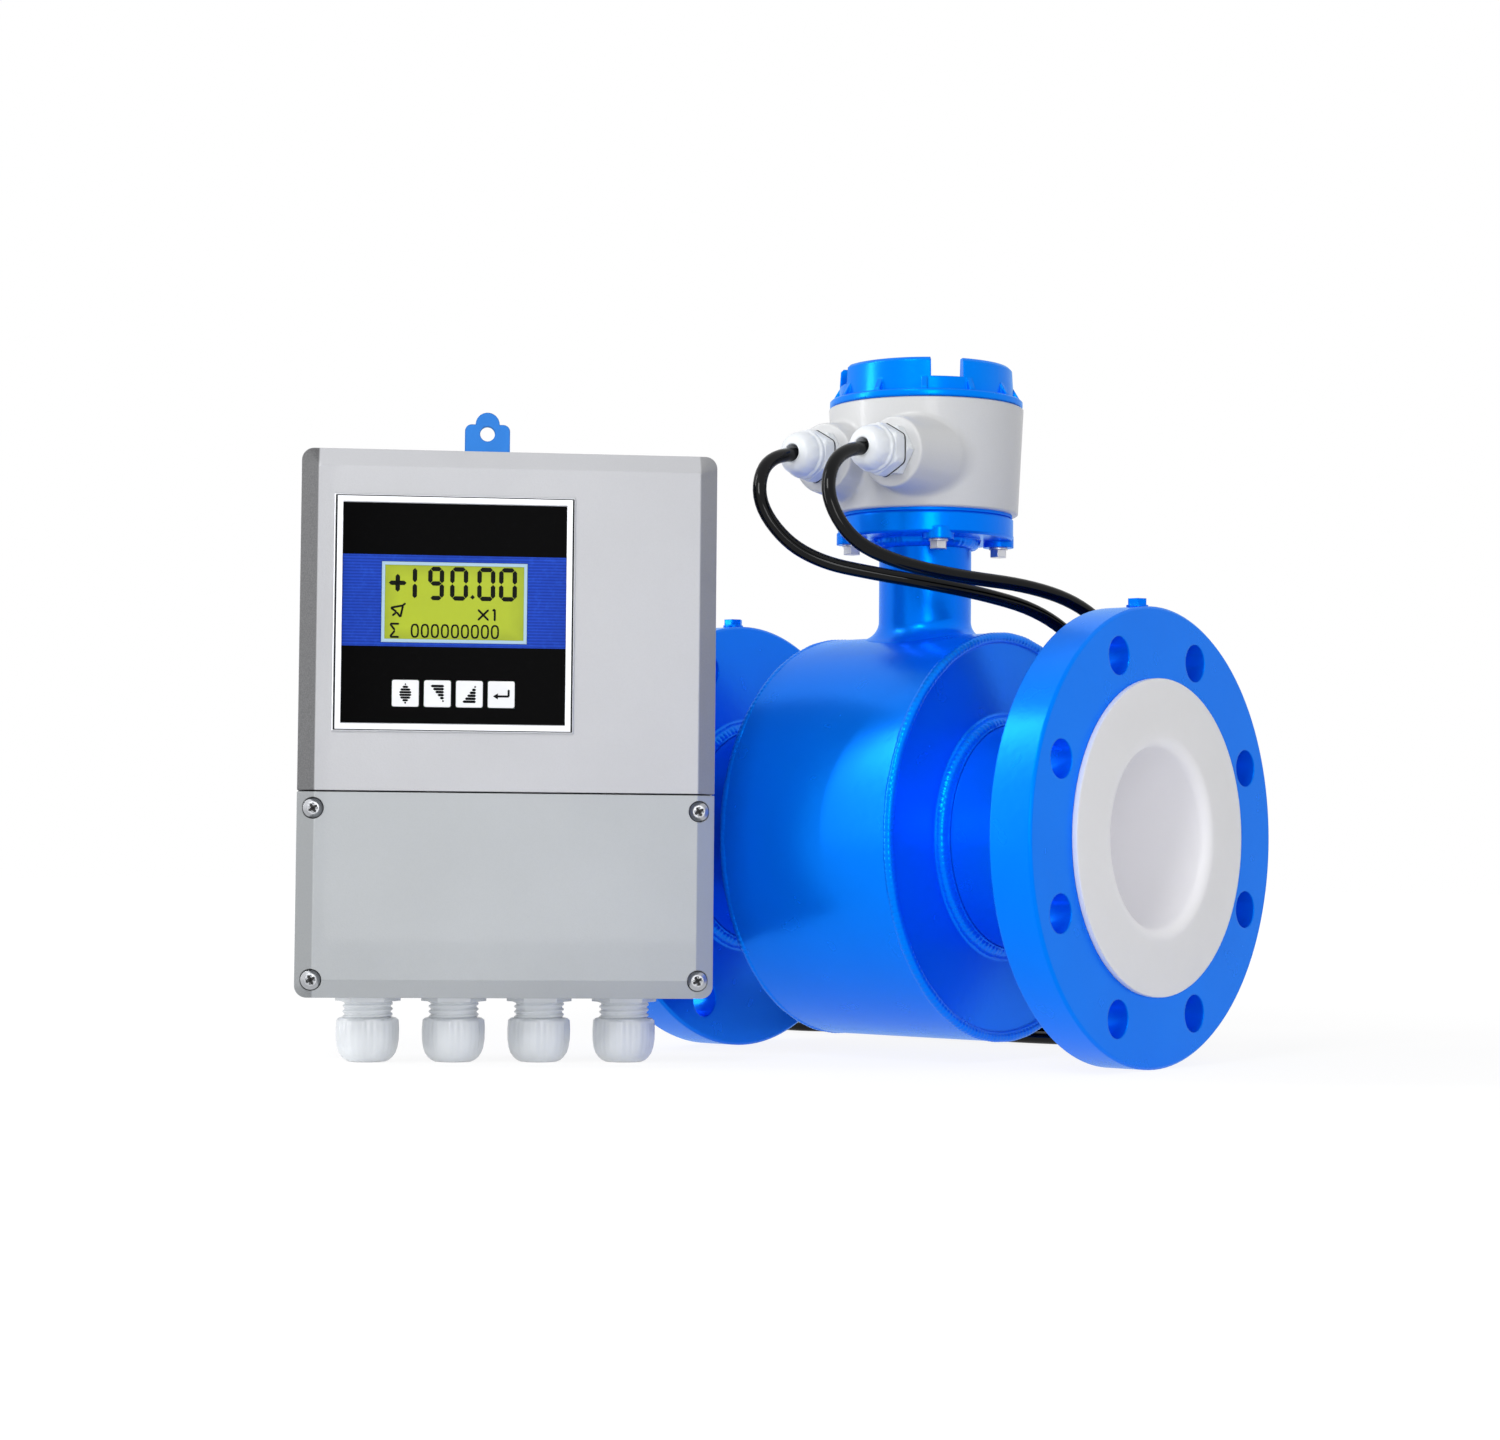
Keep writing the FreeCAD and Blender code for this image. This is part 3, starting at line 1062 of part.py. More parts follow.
def hanger_screws():
    """Two pan-head screws of the hanger."""
    seat = CONV_D + HANGER_T + CLEAR / 2
    screws = []
    for place in hanger_screw_places():
        head = turned("y", [(seat, 0), (seat, 3.6), (seat + 1.4, 3.6), (seat + 2.4, 2.2), (seat + 2.4, 0)],
                      place)
        screws.append(head.fuse(rod("y", SCREW_D / 2, CONV_D - 10, seat + 1, place)).removeSplitter())
    return group(screws)


def conv_gland_xs():
    """Middles of the converter's glands."""
    return [CONV_GLAND_X + CONV_GLAND_PITCH * (index - (CONV_GLANDS - 1) / 2) for index in range(CONV_GLANDS)]


def hanging(shape):
    """One copy of a gland piece under each gland hole, pointing down."""
    places = [V(x, CONV_GLAND_Y, CONV_BASE_Z) for x in conv_gland_xs()]
    return group([conv(moved(shape, place, V(1, 0, 0), 180)) for place in places])


def gland_plug(g):
    """Blanking plug that closes an unused gland."""
    start = g["flange"] + g["stub_l"] - SEAL_L
    return rod("z", g["mouth_r"] - CLEAR, start, g["nut_start"] + g["nut_l"] - 1.5)


def gland_locknut(g):
    """Nut inside the wall that holds a gland."""
    face = -HOUSING_SHELL - CLEAR / 2
    body = hexagon(g["locknut_af"], face - g["locknut_l"], face)
    return body.cut(rod("z", g["thread_r"] + CLEAR / 2, face - g["locknut_l"] - 1, 0))


# ---------------------------------------------------------------- assembly
parts["measuring_tube"] = measuring_tube()
parts["inlet_flange"] = flange(-1)
parts["outlet_flange"] = flange(1)
parts["liner"] = liner()
parts["front_electrode"] = electrode(-1)
parts["rear_electrode"] = electrode(1)
parts["electrode_bushes"] = group([electrode_bush(-1), electrode_bush(1)])
parts["electrode_nuts"] = group([electrode_nut(-1), electrode_nut(1)])
parts["upper_pole_core"] = pole_core(1)
parts["lower_pole_core"] = pole_core(-1)
parts["upper_coil"] = field_coil(1)
parts["lower_coil"] = field_coil(-1)
parts["return_yoke"] = return_yoke()
parts["sensor_wiring"] = sensor_wiring()
parts["housing_shell"] = housing_shell()
parts["inlet_end_plate"] = end_plate(-1)
parts["outlet_end_plate"] = end_plate(1)
parts["neck_tube"] = neck_tube()
parts["neck_flange"] = neck_flange()
parts["box_gasket"] = box_gasket()
parts["box_bolts"] = box_bolts()
parts["junction_box"] = junction_box()
parts["box_terminal_block"] = terminal_block()
parts["cap_seal"] = cap_seal()
parts["junction_cap"] = junction_cap()
parts["ground_screws"] = group([ground_screw(-1), ground_screw(1)])

for name, side in (("signal", 1), ("excitation", -1)):
    parts[name + "_gland_body"] = on_box(gland_body(BOX_GLAND), side)
    parts[name + "_gland_nut"] = on_box(gland_nut(BOX_GLAND), side)
parts["gland_seals"] = group([on_box(gland_seal(BOX_GLAND), 1), on_box(gland_seal(BOX_GLAND), -1)])

for name, points, centre, entry, leave in (
        ("signal", SIGNAL_ROUTE, SIGNAL_COIL_AT, SIGNAL_COIL_ENTRY, SIGNAL_COIL_EXIT),
        ("excitation", EXCITATION_ROUTE, EXCITATION_COIL_AT, EXCITATION_COIL_ENTRY, EXCITATION_COIL_EXIT)):
    solid, radii, free_length = cable(points, centre, entry)
    turns = COIL_TURNS_WIDE * COIL_TURNS_HIGH - 1 + (entry - leave) % 360 / 360
    total = free_length + turns * 2 * math.pi * COIL_MEAN_R + JACKET_END
    print(name, "cable radii", [round(r) for r in radii], "free", round(free_length), "whole", round(total))
    parts[name + "_cable"] = solid
    parts[name + "_coil"] = cable_coil(centre)
    parts[name + "_cable_end"] = cable_end_at(centre, leave)

parts["converter_housing"] = conv(converter_housing())
parts["front_cover"] = conv(front_cover())
parts["terminal_cover"] = conv(terminal_cover())
parts["cover_gasket"] = conv(cover_gasket())
parts["terminal_cover_screws"] = conv(terminal_cover_screws())
parts["front_cover_screws"] = conv(front_cover_screws())
parts["display_frame"] = conv(display_frame())
parts["display_overlay"] = conv(display_overlay())
parts["lcd_module"] = conv(lcd_module())
parts["display_board"] = conv(display_board())
for name, x in zip(("menu_key", "down_key", "up_key", "enter_key"), key_xs()):
    parts[name] = conv(key(x))
parts["main_board"] = conv(main_board())
parts["power_module"] = conv(power_module())
parts["terminal_strip"] = conv(terminal_strip())
parts["hanger_bracket"] = conv(hanger_bracket())
parts["hanger_screws"] = conv(hanger_screws())
parts["converter_gland_bodies"] = hanging(gland_body(CONV_GLAND))
parts["converter_gland_nuts"] = hanging(gland_nut(CONV_GLAND))
parts["converter_gland_plugs"] = hanging(gland_plug(CONV_GLAND))
parts["converter_locknuts"] = hanging(gland_locknut(CONV_GLAND))

os.makedirs("parts", exist_ok=True)
for name, shape in parts.items():
    if not shape.isValid():
        raise ValueError(name + " is not a valid shape")
    shape.exportStep(os.path.join("parts", name + ".step"))
print(len(parts), "parts")
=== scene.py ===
import json
import math

import bpy
import numpy as np
from bpy.props import FloatProperty, FloatVectorProperty, PointerProperty
from mathutils import Matrix, Vector


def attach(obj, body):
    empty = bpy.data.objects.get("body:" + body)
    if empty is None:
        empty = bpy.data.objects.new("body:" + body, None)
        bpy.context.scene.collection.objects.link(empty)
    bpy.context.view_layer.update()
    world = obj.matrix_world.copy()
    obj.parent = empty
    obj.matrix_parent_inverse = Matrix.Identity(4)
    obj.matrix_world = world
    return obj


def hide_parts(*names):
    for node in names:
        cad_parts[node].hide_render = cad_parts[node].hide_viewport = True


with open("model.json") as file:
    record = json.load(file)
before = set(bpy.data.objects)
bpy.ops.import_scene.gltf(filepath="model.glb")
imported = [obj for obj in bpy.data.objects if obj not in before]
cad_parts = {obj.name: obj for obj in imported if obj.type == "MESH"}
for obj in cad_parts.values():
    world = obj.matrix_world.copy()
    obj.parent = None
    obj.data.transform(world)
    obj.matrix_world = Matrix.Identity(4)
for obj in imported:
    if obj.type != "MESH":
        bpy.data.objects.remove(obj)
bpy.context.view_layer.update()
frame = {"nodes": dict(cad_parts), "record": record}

bl_info = {
    "name": "Electromagnetic flow meter finish",
    "version": (1, 0, 0),
    "blender": (4, 5, 0),
    "location": "View3D > Sidebar > Flow meter",
    "description": "Finishes, cables, welds and markings of a flow sensor and its wall converter",
    "category": "Object",
}

NODES = frame["nodes"]
SLOT_OF = {part["node"]: part["material_slot"] for part in frame["record"]["subparts"]}

# Sizes below are in millimetres, in the sensor's frame: +X along the pipe, +Z up.
MM = 0.001
FLOOR_Z = -114.3
SHELL_R = 104.5
SHELL_END_X = 50.8
RIM_R = 102.1
TUBE_R = 57.15
FLANGE_BACK_X = 117.1
NECK_R = 24.15
NECK_IN_R = 21.55
NECK_FLARE = 9.0
NECK_FLANGE_Z = 155.0
BOX_Z = 168.1
BOX_TOP_Z = 224.0
BOX_R = (48.4, 51.1)
BOX_IN_R = 44.1
BOX_FLOOR_Z = 173.5
BOSS_X = 22.0
BOSS_Z = 194.0
BOSS_R = 18.0
BOSS_FLARE = 4.0
BOSS_FACE_Y = -61.0
NUT_BACK_Y = -66.4
ROUND = 99.0    # width across flats of a nut's row that has no flats
CONVERTER_AT = (-97.0, -214.0, FLOOR_Z)
CONVERTER_ANGLE = math.radians(45.0)
CONVERTER_BASE = 33.0
LCD_LEFT = -62.35
LCD_TOP = CONVERTER_BASE + 212.4
LCD_GLASS_Y = 1.1
KEY_Z = CONVERTER_BASE + 148.1
KEY_X = [-27.0 + 15.5 * (k - 1.5) for k in range(4)]
KEY_FRONT_Y = -0.4
PANEL_X = -27.0
PANEL_Z = CONVERTER_BASE + 187.2
FRAME_HALF_W = 58.0
FRAME_HALF_H = 57.3
FRAME_FRONT_Y = -1.2
GLAND_ROW_Y = 40.0
GLAND_ROW_X = [-3.0 + 42.5 * (k - 1.5) for k in range(4)]
COVER_SCREW_X = 94.0
COVER_SCREW_Z = (CONVERTER_BASE + 8.9, CONVERTER_BASE + 92.0)

SIGNAL_ROUTE = [(22, -66, 194), (22, -90, 194), (22.5, -112, 184.5), (25, -120, 165), (33, -110, 144),
                (46, -89, 134), (63, -59, 128.5), (80, -26, 126), (92, 2, 119), (98, 26, 105), (99, 46, 82),
                (98, 60, 54), (97, 70, 22), (96, 74, -14), (94, 74, -50), (85, 80, -78), (66, 90, -96),
                (36, 99, -103), (-4, 108, -98), (-48, 125, -91.5)]
EXCITATION_ROUTE = [(-22, -66, 194), (-22, -90, 194), (-22.3, -111, 185), (-19, -118, 165), (-10, -107, 146),
                    (3, -93, 136), (20, -79, 131.5), (41, -61, 127), (60, -36, 122), (76, -10, 115),
                    (85, 14, 101), (87, 34, 80), (86, 52, 56), (84, 66, 26), (82, 72, -10), (80, 76, -46),
                    (76, 86, -77), (60, 103, -99), (34, 116, -109.5), (0, 119, -110.4), (-42, 121, -110.6),
                    (-86, 119, -109), (-132, 117, -99)]
COIL_MIDDLE_R = 40.0
COIL_PITCH = 7.0
COIL_HEIGHT = 4 * COIL_PITCH
COIL_RADII = tuple(COIL_MIDDLE_R + COIL_PITCH * (1.5 - k) for k in range(4))
COIL_TOP_Z = -89.8
COIL_LOW_Z = -110.1
COIL_POINTS = 16
TIE_THICKNESS = 1.1


def linear(red, green, blue):
    """Screen colour from 0 to 255 as linear light."""
    values = [channel / 255 for channel in (red, green, blue)]
    return tuple(v / 12.92 if v <= 0.04045 else ((v + 0.055) / 1.055) ** 2.4 for v in values)


def colour(name, description, red, green, blue):
    """Colour property with its default."""
    return FloatVectorProperty(name=name, description=description, subtype="COLOR", size=3, min=0.0, max=1.0,
                               default=linear(red, green, blue))


def length(name, description, default):
    """Length property in metres with its default given in millimetres."""
    return FloatProperty(name=name, description=description, default=default * MM, min=0.0, unit="LENGTH")


class FlowmeterSizes(bpy.types.PropertyGroup):
    cable_diameter: length("Cable diameter", "Outside of the jacket", 7.0)
    weld_pitch: length("Weld ripple pitch", "Distance between the ripples of a weld bead", 3.0)
    weld_ripple: length("Weld ripple height", "Height of the ripples of a weld bead", 0.22)
    boss_blend: length("Boss blend", "Fillet between the junction box and its gland bosses", 2.5)
    tie_width: length("Cable tie width", "Width of the ties on the coils", 4.6)


class FlowmeterColours(bpy.types.PropertyGroup):
    sensor_blue: colour("Sensor blue", "Enamel of the sensor", 0, 122, 255)
    cap_blue: colour("Cap blue", "Enamel of the cap", 0, 126, 246)
    box_grey: colour("Box grey", "Paint of the junction box", 210, 211, 212)
    liner_white: colour("Liner white", "Lining of the bore", 250, 250, 253)
    plastic_white: colour("Gland white", "Nylon of the cable glands", 232, 236, 240)
    cable_black: colour("Cable black", "Jacket of the cables", 2, 3, 5)
    converter_grey: colour("Converter grey", "Paint of the converter and its upper cover", 193, 194, 198)
    cover_grey: colour("Cover grey", "Paint of the terminal cover", 179, 183, 186)
    display_green: colour("Display green", "Lit face of the display", 170, 186, 30)
    band_blue: colour("Band blue", "Printed band beside the display", 38, 74, 190)


class FlowmeterStage(bpy.types.PropertyGroup):
    camera_place: FloatVectorProperty(name="Camera place", description="Where the camera stands",
                                      subtype="TRANSLATION", size=3, default=(0.8992, -1.2778, -0.0068))
    camera_yaw: FloatProperty(name="Camera yaw", description="Turn of the view from +Y towards -X",
                              subtype="ANGLE", default=math.radians(38.484))
    camera_pitch: FloatProperty(name="Camera pitch", description="Upward tilt of the view",
                                subtype="ANGLE", default=math.radians(2.456))
    camera_roll: FloatProperty(name="Camera roll", description="Roll about the view",
                               subtype="ANGLE", default=math.radians(0.5))
    lens: FloatProperty(name="Lens", description="Focal length in millimetres", default=71.5, min=10.0)
    key_power: FloatProperty(name="Key light", description="Power of the key light in watts", default=9.0)
    side_power: FloatProperty(name="Side light", default=8.0,
                              description="Power of the light on the outlet flange in watts")
    strip_power: FloatProperty(name="Strip light", default=11.0,
                               description="Power of the narrow light in watts")
    world_level: FloatProperty(name="World level", description="Grey of the surroundings", default=0.45)


# ---------------------------------------------------------------- finishes
class Wire:
    """Output socket of a node; arithmetic on it adds Math nodes."""

    def __init__(self, finish, socket):
        self.finish = finish
        self.socket = socket

    def apply(self, operation, *others):
        return self.finish.node("ShaderNodeMath", {"operation": operation}, dict(enumerate((self, *others))))

    def __add__(self, other):
        return self.apply("ADD", other)

    def __sub__(self, other):
        return self.apply("SUBTRACT", other)

    def __rsub__(self, other):
        return self.finish.node("ShaderNodeMath", {"operation": "SUBTRACT"}, {0: other, 1: self})

    def __mul__(self, other):
        return self.apply("MULTIPLY", other)

    def __gt__(self, other):
        return self.apply("GREATER_THAN", other)

    def __lt__(self, other):
        return self.apply("LESS_THAN", other)

    __radd__ = __add__
    __rmul__ = __mul__


class Finish:
    """Nodes added one by one to a new material, or to the tree that is given."""

    def __init__(self, name, tree=None):
        if tree is None:
            self.material = bpy.data.materials.new(name)
            self.material.use_nodes = True
            tree = self.material.node_tree
        self.tree = tree
        self.shader = tree.nodes.get("Principled BSDF") or tree.nodes["Background"]

    def node(self, kind, settings=None, inputs=None, output=0):
        """Add a node, its settings first and then the values or links of its sockets, and give one output."""
        node = self.tree.nodes.new(kind)
        for name, value in (settings or {}).items():
            if name == "stops":
                self.set_stops(node.color_ramp, value)
            else:
                setattr(node, name, value)
        for key, value in (inputs or {}).items():
            if isinstance(value, Wire):
                self.tree.links.new(value.socket, node.inputs[key])
            else:
                node.inputs[key].default_value = value
        return Wire(self, node.outputs[output])

    def set_stops(self, ramp, stops):
        """Stops of a colour ramp as (place, colour) pairs."""
        while len(ramp.elements) < len(stops):
            ramp.elements.new(1.0)
        for element, (place, shade) in zip(ramp.elements, stops):
            element.position = place
            element.color = (*shade, 1.0)

    def set(self, name, value):
        """Value or link of one of the shader's own sockets."""
        socket = self.shader.inputs[name]
        if isinstance(value, Wire):
            self.tree.links.new(value.socket, socket)
        elif name in ("Base Color", "Emission Color", "Specular Tint", "Color"):
            socket.default_value = (*value, 1.0)
        else:
            socket.default_value = value

    def place(self):
        """Object coordinates in metres."""
        return self.node("ShaderNodeTexCoord", output=3)

    def converter_place(self):
        """Object coordinates in the converter's own frame in metres: +X right, +Y back, +Z up."""
        location = tuple(value * MM for value in CONVERTER_AT)
        return self.node("ShaderNodeMapping", {"vector_type": "TEXTURE"},
                         {"Vector": self.place(), "Location": location, "Rotation": (0, 0, CONVERTER_ANGLE)})

    def axis(self, place, index):
        """One coordinate of a place."""
        return self.node("ShaderNodeSeparateXYZ", inputs={0: place}, output=index)

    def noise(self, scale, detail=2.0, roughness=0.5, place=None):
        """Noise with a feature size of 1/scale metres."""
        return self.node("ShaderNodeTexNoise", inputs={"Vector": place or self.place(), "Scale": scale,
                                                       "Detail": detail, "Roughness": roughness})

    def ramp(self, value, low, high):
        """Value taken from 0 at low to 1 at high."""
        return self.node("ShaderNodeMapRange", inputs={0: value, 1: low, 2: high, 3: 0.0, 4: 1.0})

    def mix(self, factor, first, second):
        """Colour mixed from two colours."""
        shades = {6: first, 7: second}
        inputs = {key: shade if isinstance(shade, Wire) else (*shade, 1.0) for key, shade in shades.items()}
        return self.node("ShaderNodeMix", {"data_type": "RGBA"}, {0: factor, **inputs}, output=2)

    def bump(self, height, strength, distance, edge=0.0):
        """Relief of a height; edge is the radius of softened edges."""
        inputs = {"Height": height, "Strength": strength, "Distance": distance}
        if edge:
            inputs["Normal"] = self.node("ShaderNodeBevel", {"samples": 6}, {"Radius": edge})
        self.set("Normal", self.node("ShaderNodeBump", inputs=inputs))


def shade(base, factor):
    """Colour made darker or lighter."""
    return tuple(min(1.0, channel * factor) for channel in base)


def enamel(name, base, roughness=0.22, peel=0.10, edge=0.0012):
    """Sprayed gloss enamel: slow drift of shade, orange peel, a few dust nibs and softened edges.

    It is set partly metallic so that its reflections keep its own hue.
    """
    finish = Finish(name)
    drift = finish.ramp(finish.noise(11.0, 3.0), 0.3, 0.7)
    dust = finish.ramp(finish.noise(900.0, 1.0), 0.74, 0.8)
    body = finish.mix(drift, shade(base, 0.93), shade(base, 1.05))
    finish.set("Base Color", finish.mix(dust * 0.10, body, shade(base, 1.5)))
    finish.set("Roughness", roughness + 0.08 * finish.noise(60.0, 3.0))
    finish.set("Metallic", 0.45)
    finish.set("Specular IOR Level", 0.35)
    finish.set("Specular Tint", (0.0, 0.75, 1.0))
    relief = finish.noise(240.0, 2.0, 0.55) + 4.0 * finish.noise(13.0, 1.0) + 0.5 * dust
    finish.bump(relief, peel, 0.0006, edge)
    return finish.material


def powder(name, base, roughness=0.42, grain=0.25, edge=0.0008, bevel_shade=None):
    """Powder coat: fine pebbled grain, slight mottling, soft edges; the side faces of a cover's edge can
    carry painted shade, with one factor for the left and one for the right.
    """
    finish = Finish(name)
    drift = finish.ramp(finish.noise(14.0, 4.0), 0.3, 0.7)
    fleck = finish.ramp(finish.noise(1500.0, 1.0), 0.35, 0.7)
    body = finish.mix(drift, shade(base, 0.96), shade(base, 1.03))
    # Painted shade: the left and right bevel faces of a cover are darkened, each by its own factor.
    if bevel_shade:
        place = finish.converter_place()
        across = finish.axis(place, 0)
        bevel = finish.ramp(across.apply("ABSOLUTE"), 0.0930, 0.0938) * (finish.axis(place, 1) < 0.0069)
        sides = finish.mix(across > 0.0, shade(base, bevel_shade[0]), shade(base, bevel_shade[1]))
        body = finish.mix(bevel, body, sides)
    finish.set("Base Color", finish.mix(fleck * 0.12, body, shade(base, 0.82)))
    finish.set("Roughness", roughness + 0.12 * fleck)
    finish.set("Coat Weight", 0.15)
    finish.bump(finish.noise(1100.0, 2.0), grain, 0.0003, edge)
    return finish.material


def moulded(name, base, roughness=0.32, grain=0.12, edge=0.0005, glow=0.0, gloss=0.25):
    """Moulded plastic: faint flow marks, fine grain; glow is the share of light scattered inside."""
    finish = Finish(name)
    flow = finish.ramp(finish.noise(35.0, 3.0, 0.6), 0.3, 0.7)
    finish.set("Base Color", finish.mix(flow, shade(base, 0.93), shade(base, 1.04)))
    finish.set("Roughness", roughness + 0.10 * finish.noise(300.0, 2.0))
    finish.set("Coat Weight", gloss)
    if glow:
        finish.set("Subsurface Weight", glow)
        finish.set("Subsurface Radius", (0.004, 0.004, 0.0045))
        finish.set("Subsurface Scale", 0.6)
    finish.bump(finish.noise(700.0, 2.0), grain, 0.0002, edge)
    return finish.material


def metal(name, base, roughness=0.3, edge=0.0004, wear=0.5):
    """Bare or plated metal: mottled plating, fine scratches and dull patches."""
    finish = Finish(name)
    patch = finish.ramp(finish.noise(120.0, 4.0, 0.6), 0.35, 0.7)
    scratch = finish.noise(1400.0, 3.0, 0.7)
    finish.set("Base Color", finish.mix(patch * wear, base, shade(base, 0.72)))
    finish.set("Metallic", 1.0)
    finish.set("Roughness", roughness + 0.18 * patch + 0.08 * scratch)
    finish.bump(scratch, 0.15, 0.0002, edge)
    return finish.material


def jacket(name, base, roughness=0.22):
    """Extruded cable jacket: glossy, with slight lengthways waves and rubbed patches."""
    finish = Finish(name)
    rub = finish.ramp(finish.noise(70.0, 4.0, 0.65), 0.5, 0.85)
    finish.set("Base Color", finish.mix(rub * 0.35, base, shade(base, 3.0)))
    finish.set("Roughness", roughness + 0.16 * rub)
    finish.set("Specular IOR Level", 0.03)
    finish.set("Coat Weight", 0.32)
    finish.set("Coat Roughness", 0.08)
    finish.bump(finish.noise(220.0, 2.0), 0.10, 0.0004)
    return finish.material


def rubber(name, base):
    """Dull rubber with a chalky bloom; it also gives the dark finish of the painted shadow in the screw
    recesses.
    """
    finish = Finish(name)
    bloom = finish.ramp(finish.noise(200.0, 4.0, 0.7), 0.45, 0.8)
    finish.set("Base Color", finish.mix(bloom * 0.3, base, shade(base, 2.2)))
    finish.set("Roughness", 0.6 + 0.2 * bloom)
    finish.bump(finish.noise(900.0), 0.3, 0.0002)
    return finish.material


def lining(name, base):
    """Skived fluoroplastic: waxy white with fine turning marks; inside the mouth it is a little darker, which
    is painted shade.

    A slight glow inside the mouth is painted light; it stands for light scattered in the plastic.
    """
    finish = Finish(name)
    place = finish.place()
    y, z = finish.axis(place, 1), finish.axis(place, 2)
    radius = (y * y + z * z).apply("SQRT")
    inside = 1 - finish.ramp(radius, 0.045, 0.053)
    cloud = finish.ramp(finish.noise(25.0, 4.0, 0.6), 0.3, 0.7)
    face = finish.mix(cloud, shade(base, 0.97), shade(base, 1.02))
    # Painted shade: the inside of the mouth is a little darker than the face.
    shaded_mouth_white = (base[0] * 0.95, base[1] * 0.945, base[2] * 0.955)
    finish.set("Base Color", finish.mix(inside, face, shaded_mouth_white))
    # Painted light: a faint glow inside the mouth.
    finish.set("Emission Color", finish.mix(inside, (0.0, 0.0, 0.0), shaded_mouth_white))
    finish.set("Emission Strength", 0.06)
    finish.set("Roughness", 0.38 + 0.10 * cloud)
    finish.set("Subsurface Weight", 0.25)
    finish.set("Subsurface Radius", (0.012, 0.012, 0.013))
    finish.set("Subsurface Scale", 1.0)
    rings = (radius * 5200.0).apply("SINE")
    finish.bump(rings * 0.5 + finish.noise(500.0), 0.06, 0.0002, 0.0010)
    return finish.material


def windings(name, base):
    """Enamelled copper wire laid in close turns, with painted shade darkening the grooves between turns."""
    finish = Finish(name)
    place = finish.place()
    y, x = finish.axis(place, 1), finish.axis(place, 0)
    radius = (x * x + y * y).apply("SQRT")
    height = finish.axis(place, 2)
    turns = ((radius + height) * 5000.0).apply("SINE")
    # Painted shade: the colour darkens towards the grooves of the bump between turns.
    finish.set("Base Color", finish.mix(finish.ramp(turns, -1.0, 1.0), shade(base, 0.55), base))
    finish.set("Metallic", 0.8)
    finish.set("Roughness", 0.3 + 0.1 * finish.noise(300.0))
    finish.bump(turns, 0.5, 0.0003)
    return finish.material


def circuit(name, base):
    """Solder-masked board: copper tracks showing through as paler bands."""
    finish = Finish(name)
    place = finish.converter_place()
    tracks = finish.node("ShaderNodeTexVoronoi", {"distance": "CHEBYCHEV"}, {"Vector": place, "Scale": 220.0})
    line = finish.ramp(tracks, 0.3, 0.36)
    finish.set("Base Color", finish.mix(line, shade(base, 1.5), base))
    finish.set("Roughness", 0.3 + 0.2 * line)
    finish.bump(line, 0.2, 0.0002)
    return finish.material


def stamped(name, base):
    """Anodised frame: satin silver brushed along its length."""
    finish = Finish(name)
    place = finish.converter_place()
    brushed = finish.node("ShaderNodeMapping", inputs={"Vector": place, "Scale": (40.0, 900.0, 900.0)})
    grain = finish.noise(1.0, 3.0, 0.7, brushed)
    finish.set("Base Color", finish.mix(grain, shade(base, 0.85), shade(base, 1.06)))
    finish.set("Metallic", 0.55)
    finish.set("Roughness", 0.28 + 0.15 * grain)
    finish.bump(grain, 0.1, 0.0002, 0.0004)
    return finish.material


def front_panel(name, band):
    """Gloss black front film with a blue band of fine printed lines behind the display."""
    finish = Finish(name)
    place = finish.converter_place()
    z = finish.axis(place, 2)
    low, high = (CONVERTER_BASE + 171.0) * MM, (CONVERTER_BASE + 215.7) * MM
    inside = (z > low) * (z < high)
    lines = (z * 4200.0).apply("SINE") * 0.5 + 0.5
    scuff = finish.ramp(finish.noise(260.0, 4.0, 0.7, place), 0.5, 0.75)
    stripe = finish.mix(lines, shade(band, 0.7), shade(band, 1.15))
    stripe = finish.mix(scuff * 0.25, stripe, shade(band, 2.6))
    slow = finish.ramp(finish.noise(30.0, 3.0, 0.6, place), 0.35, 0.75)
    stripe = finish.mix(slow * 0.5, stripe, shade(band, 0.6))
    black = finish.mix(scuff * 0.12, (0.0003, 0.0003, 0.0005), (0.006, 0.006, 0.007))
    finish.set("Base Color", finish.mix(inside, black, stripe))
    finish.set("Roughness", 0.16 + 0.25 * (inside * scuff))
    finish.set("Specular IOR Level", 0.01)
    finish.bump(lines * inside, 0.15, 0.0002)
    return finish.material


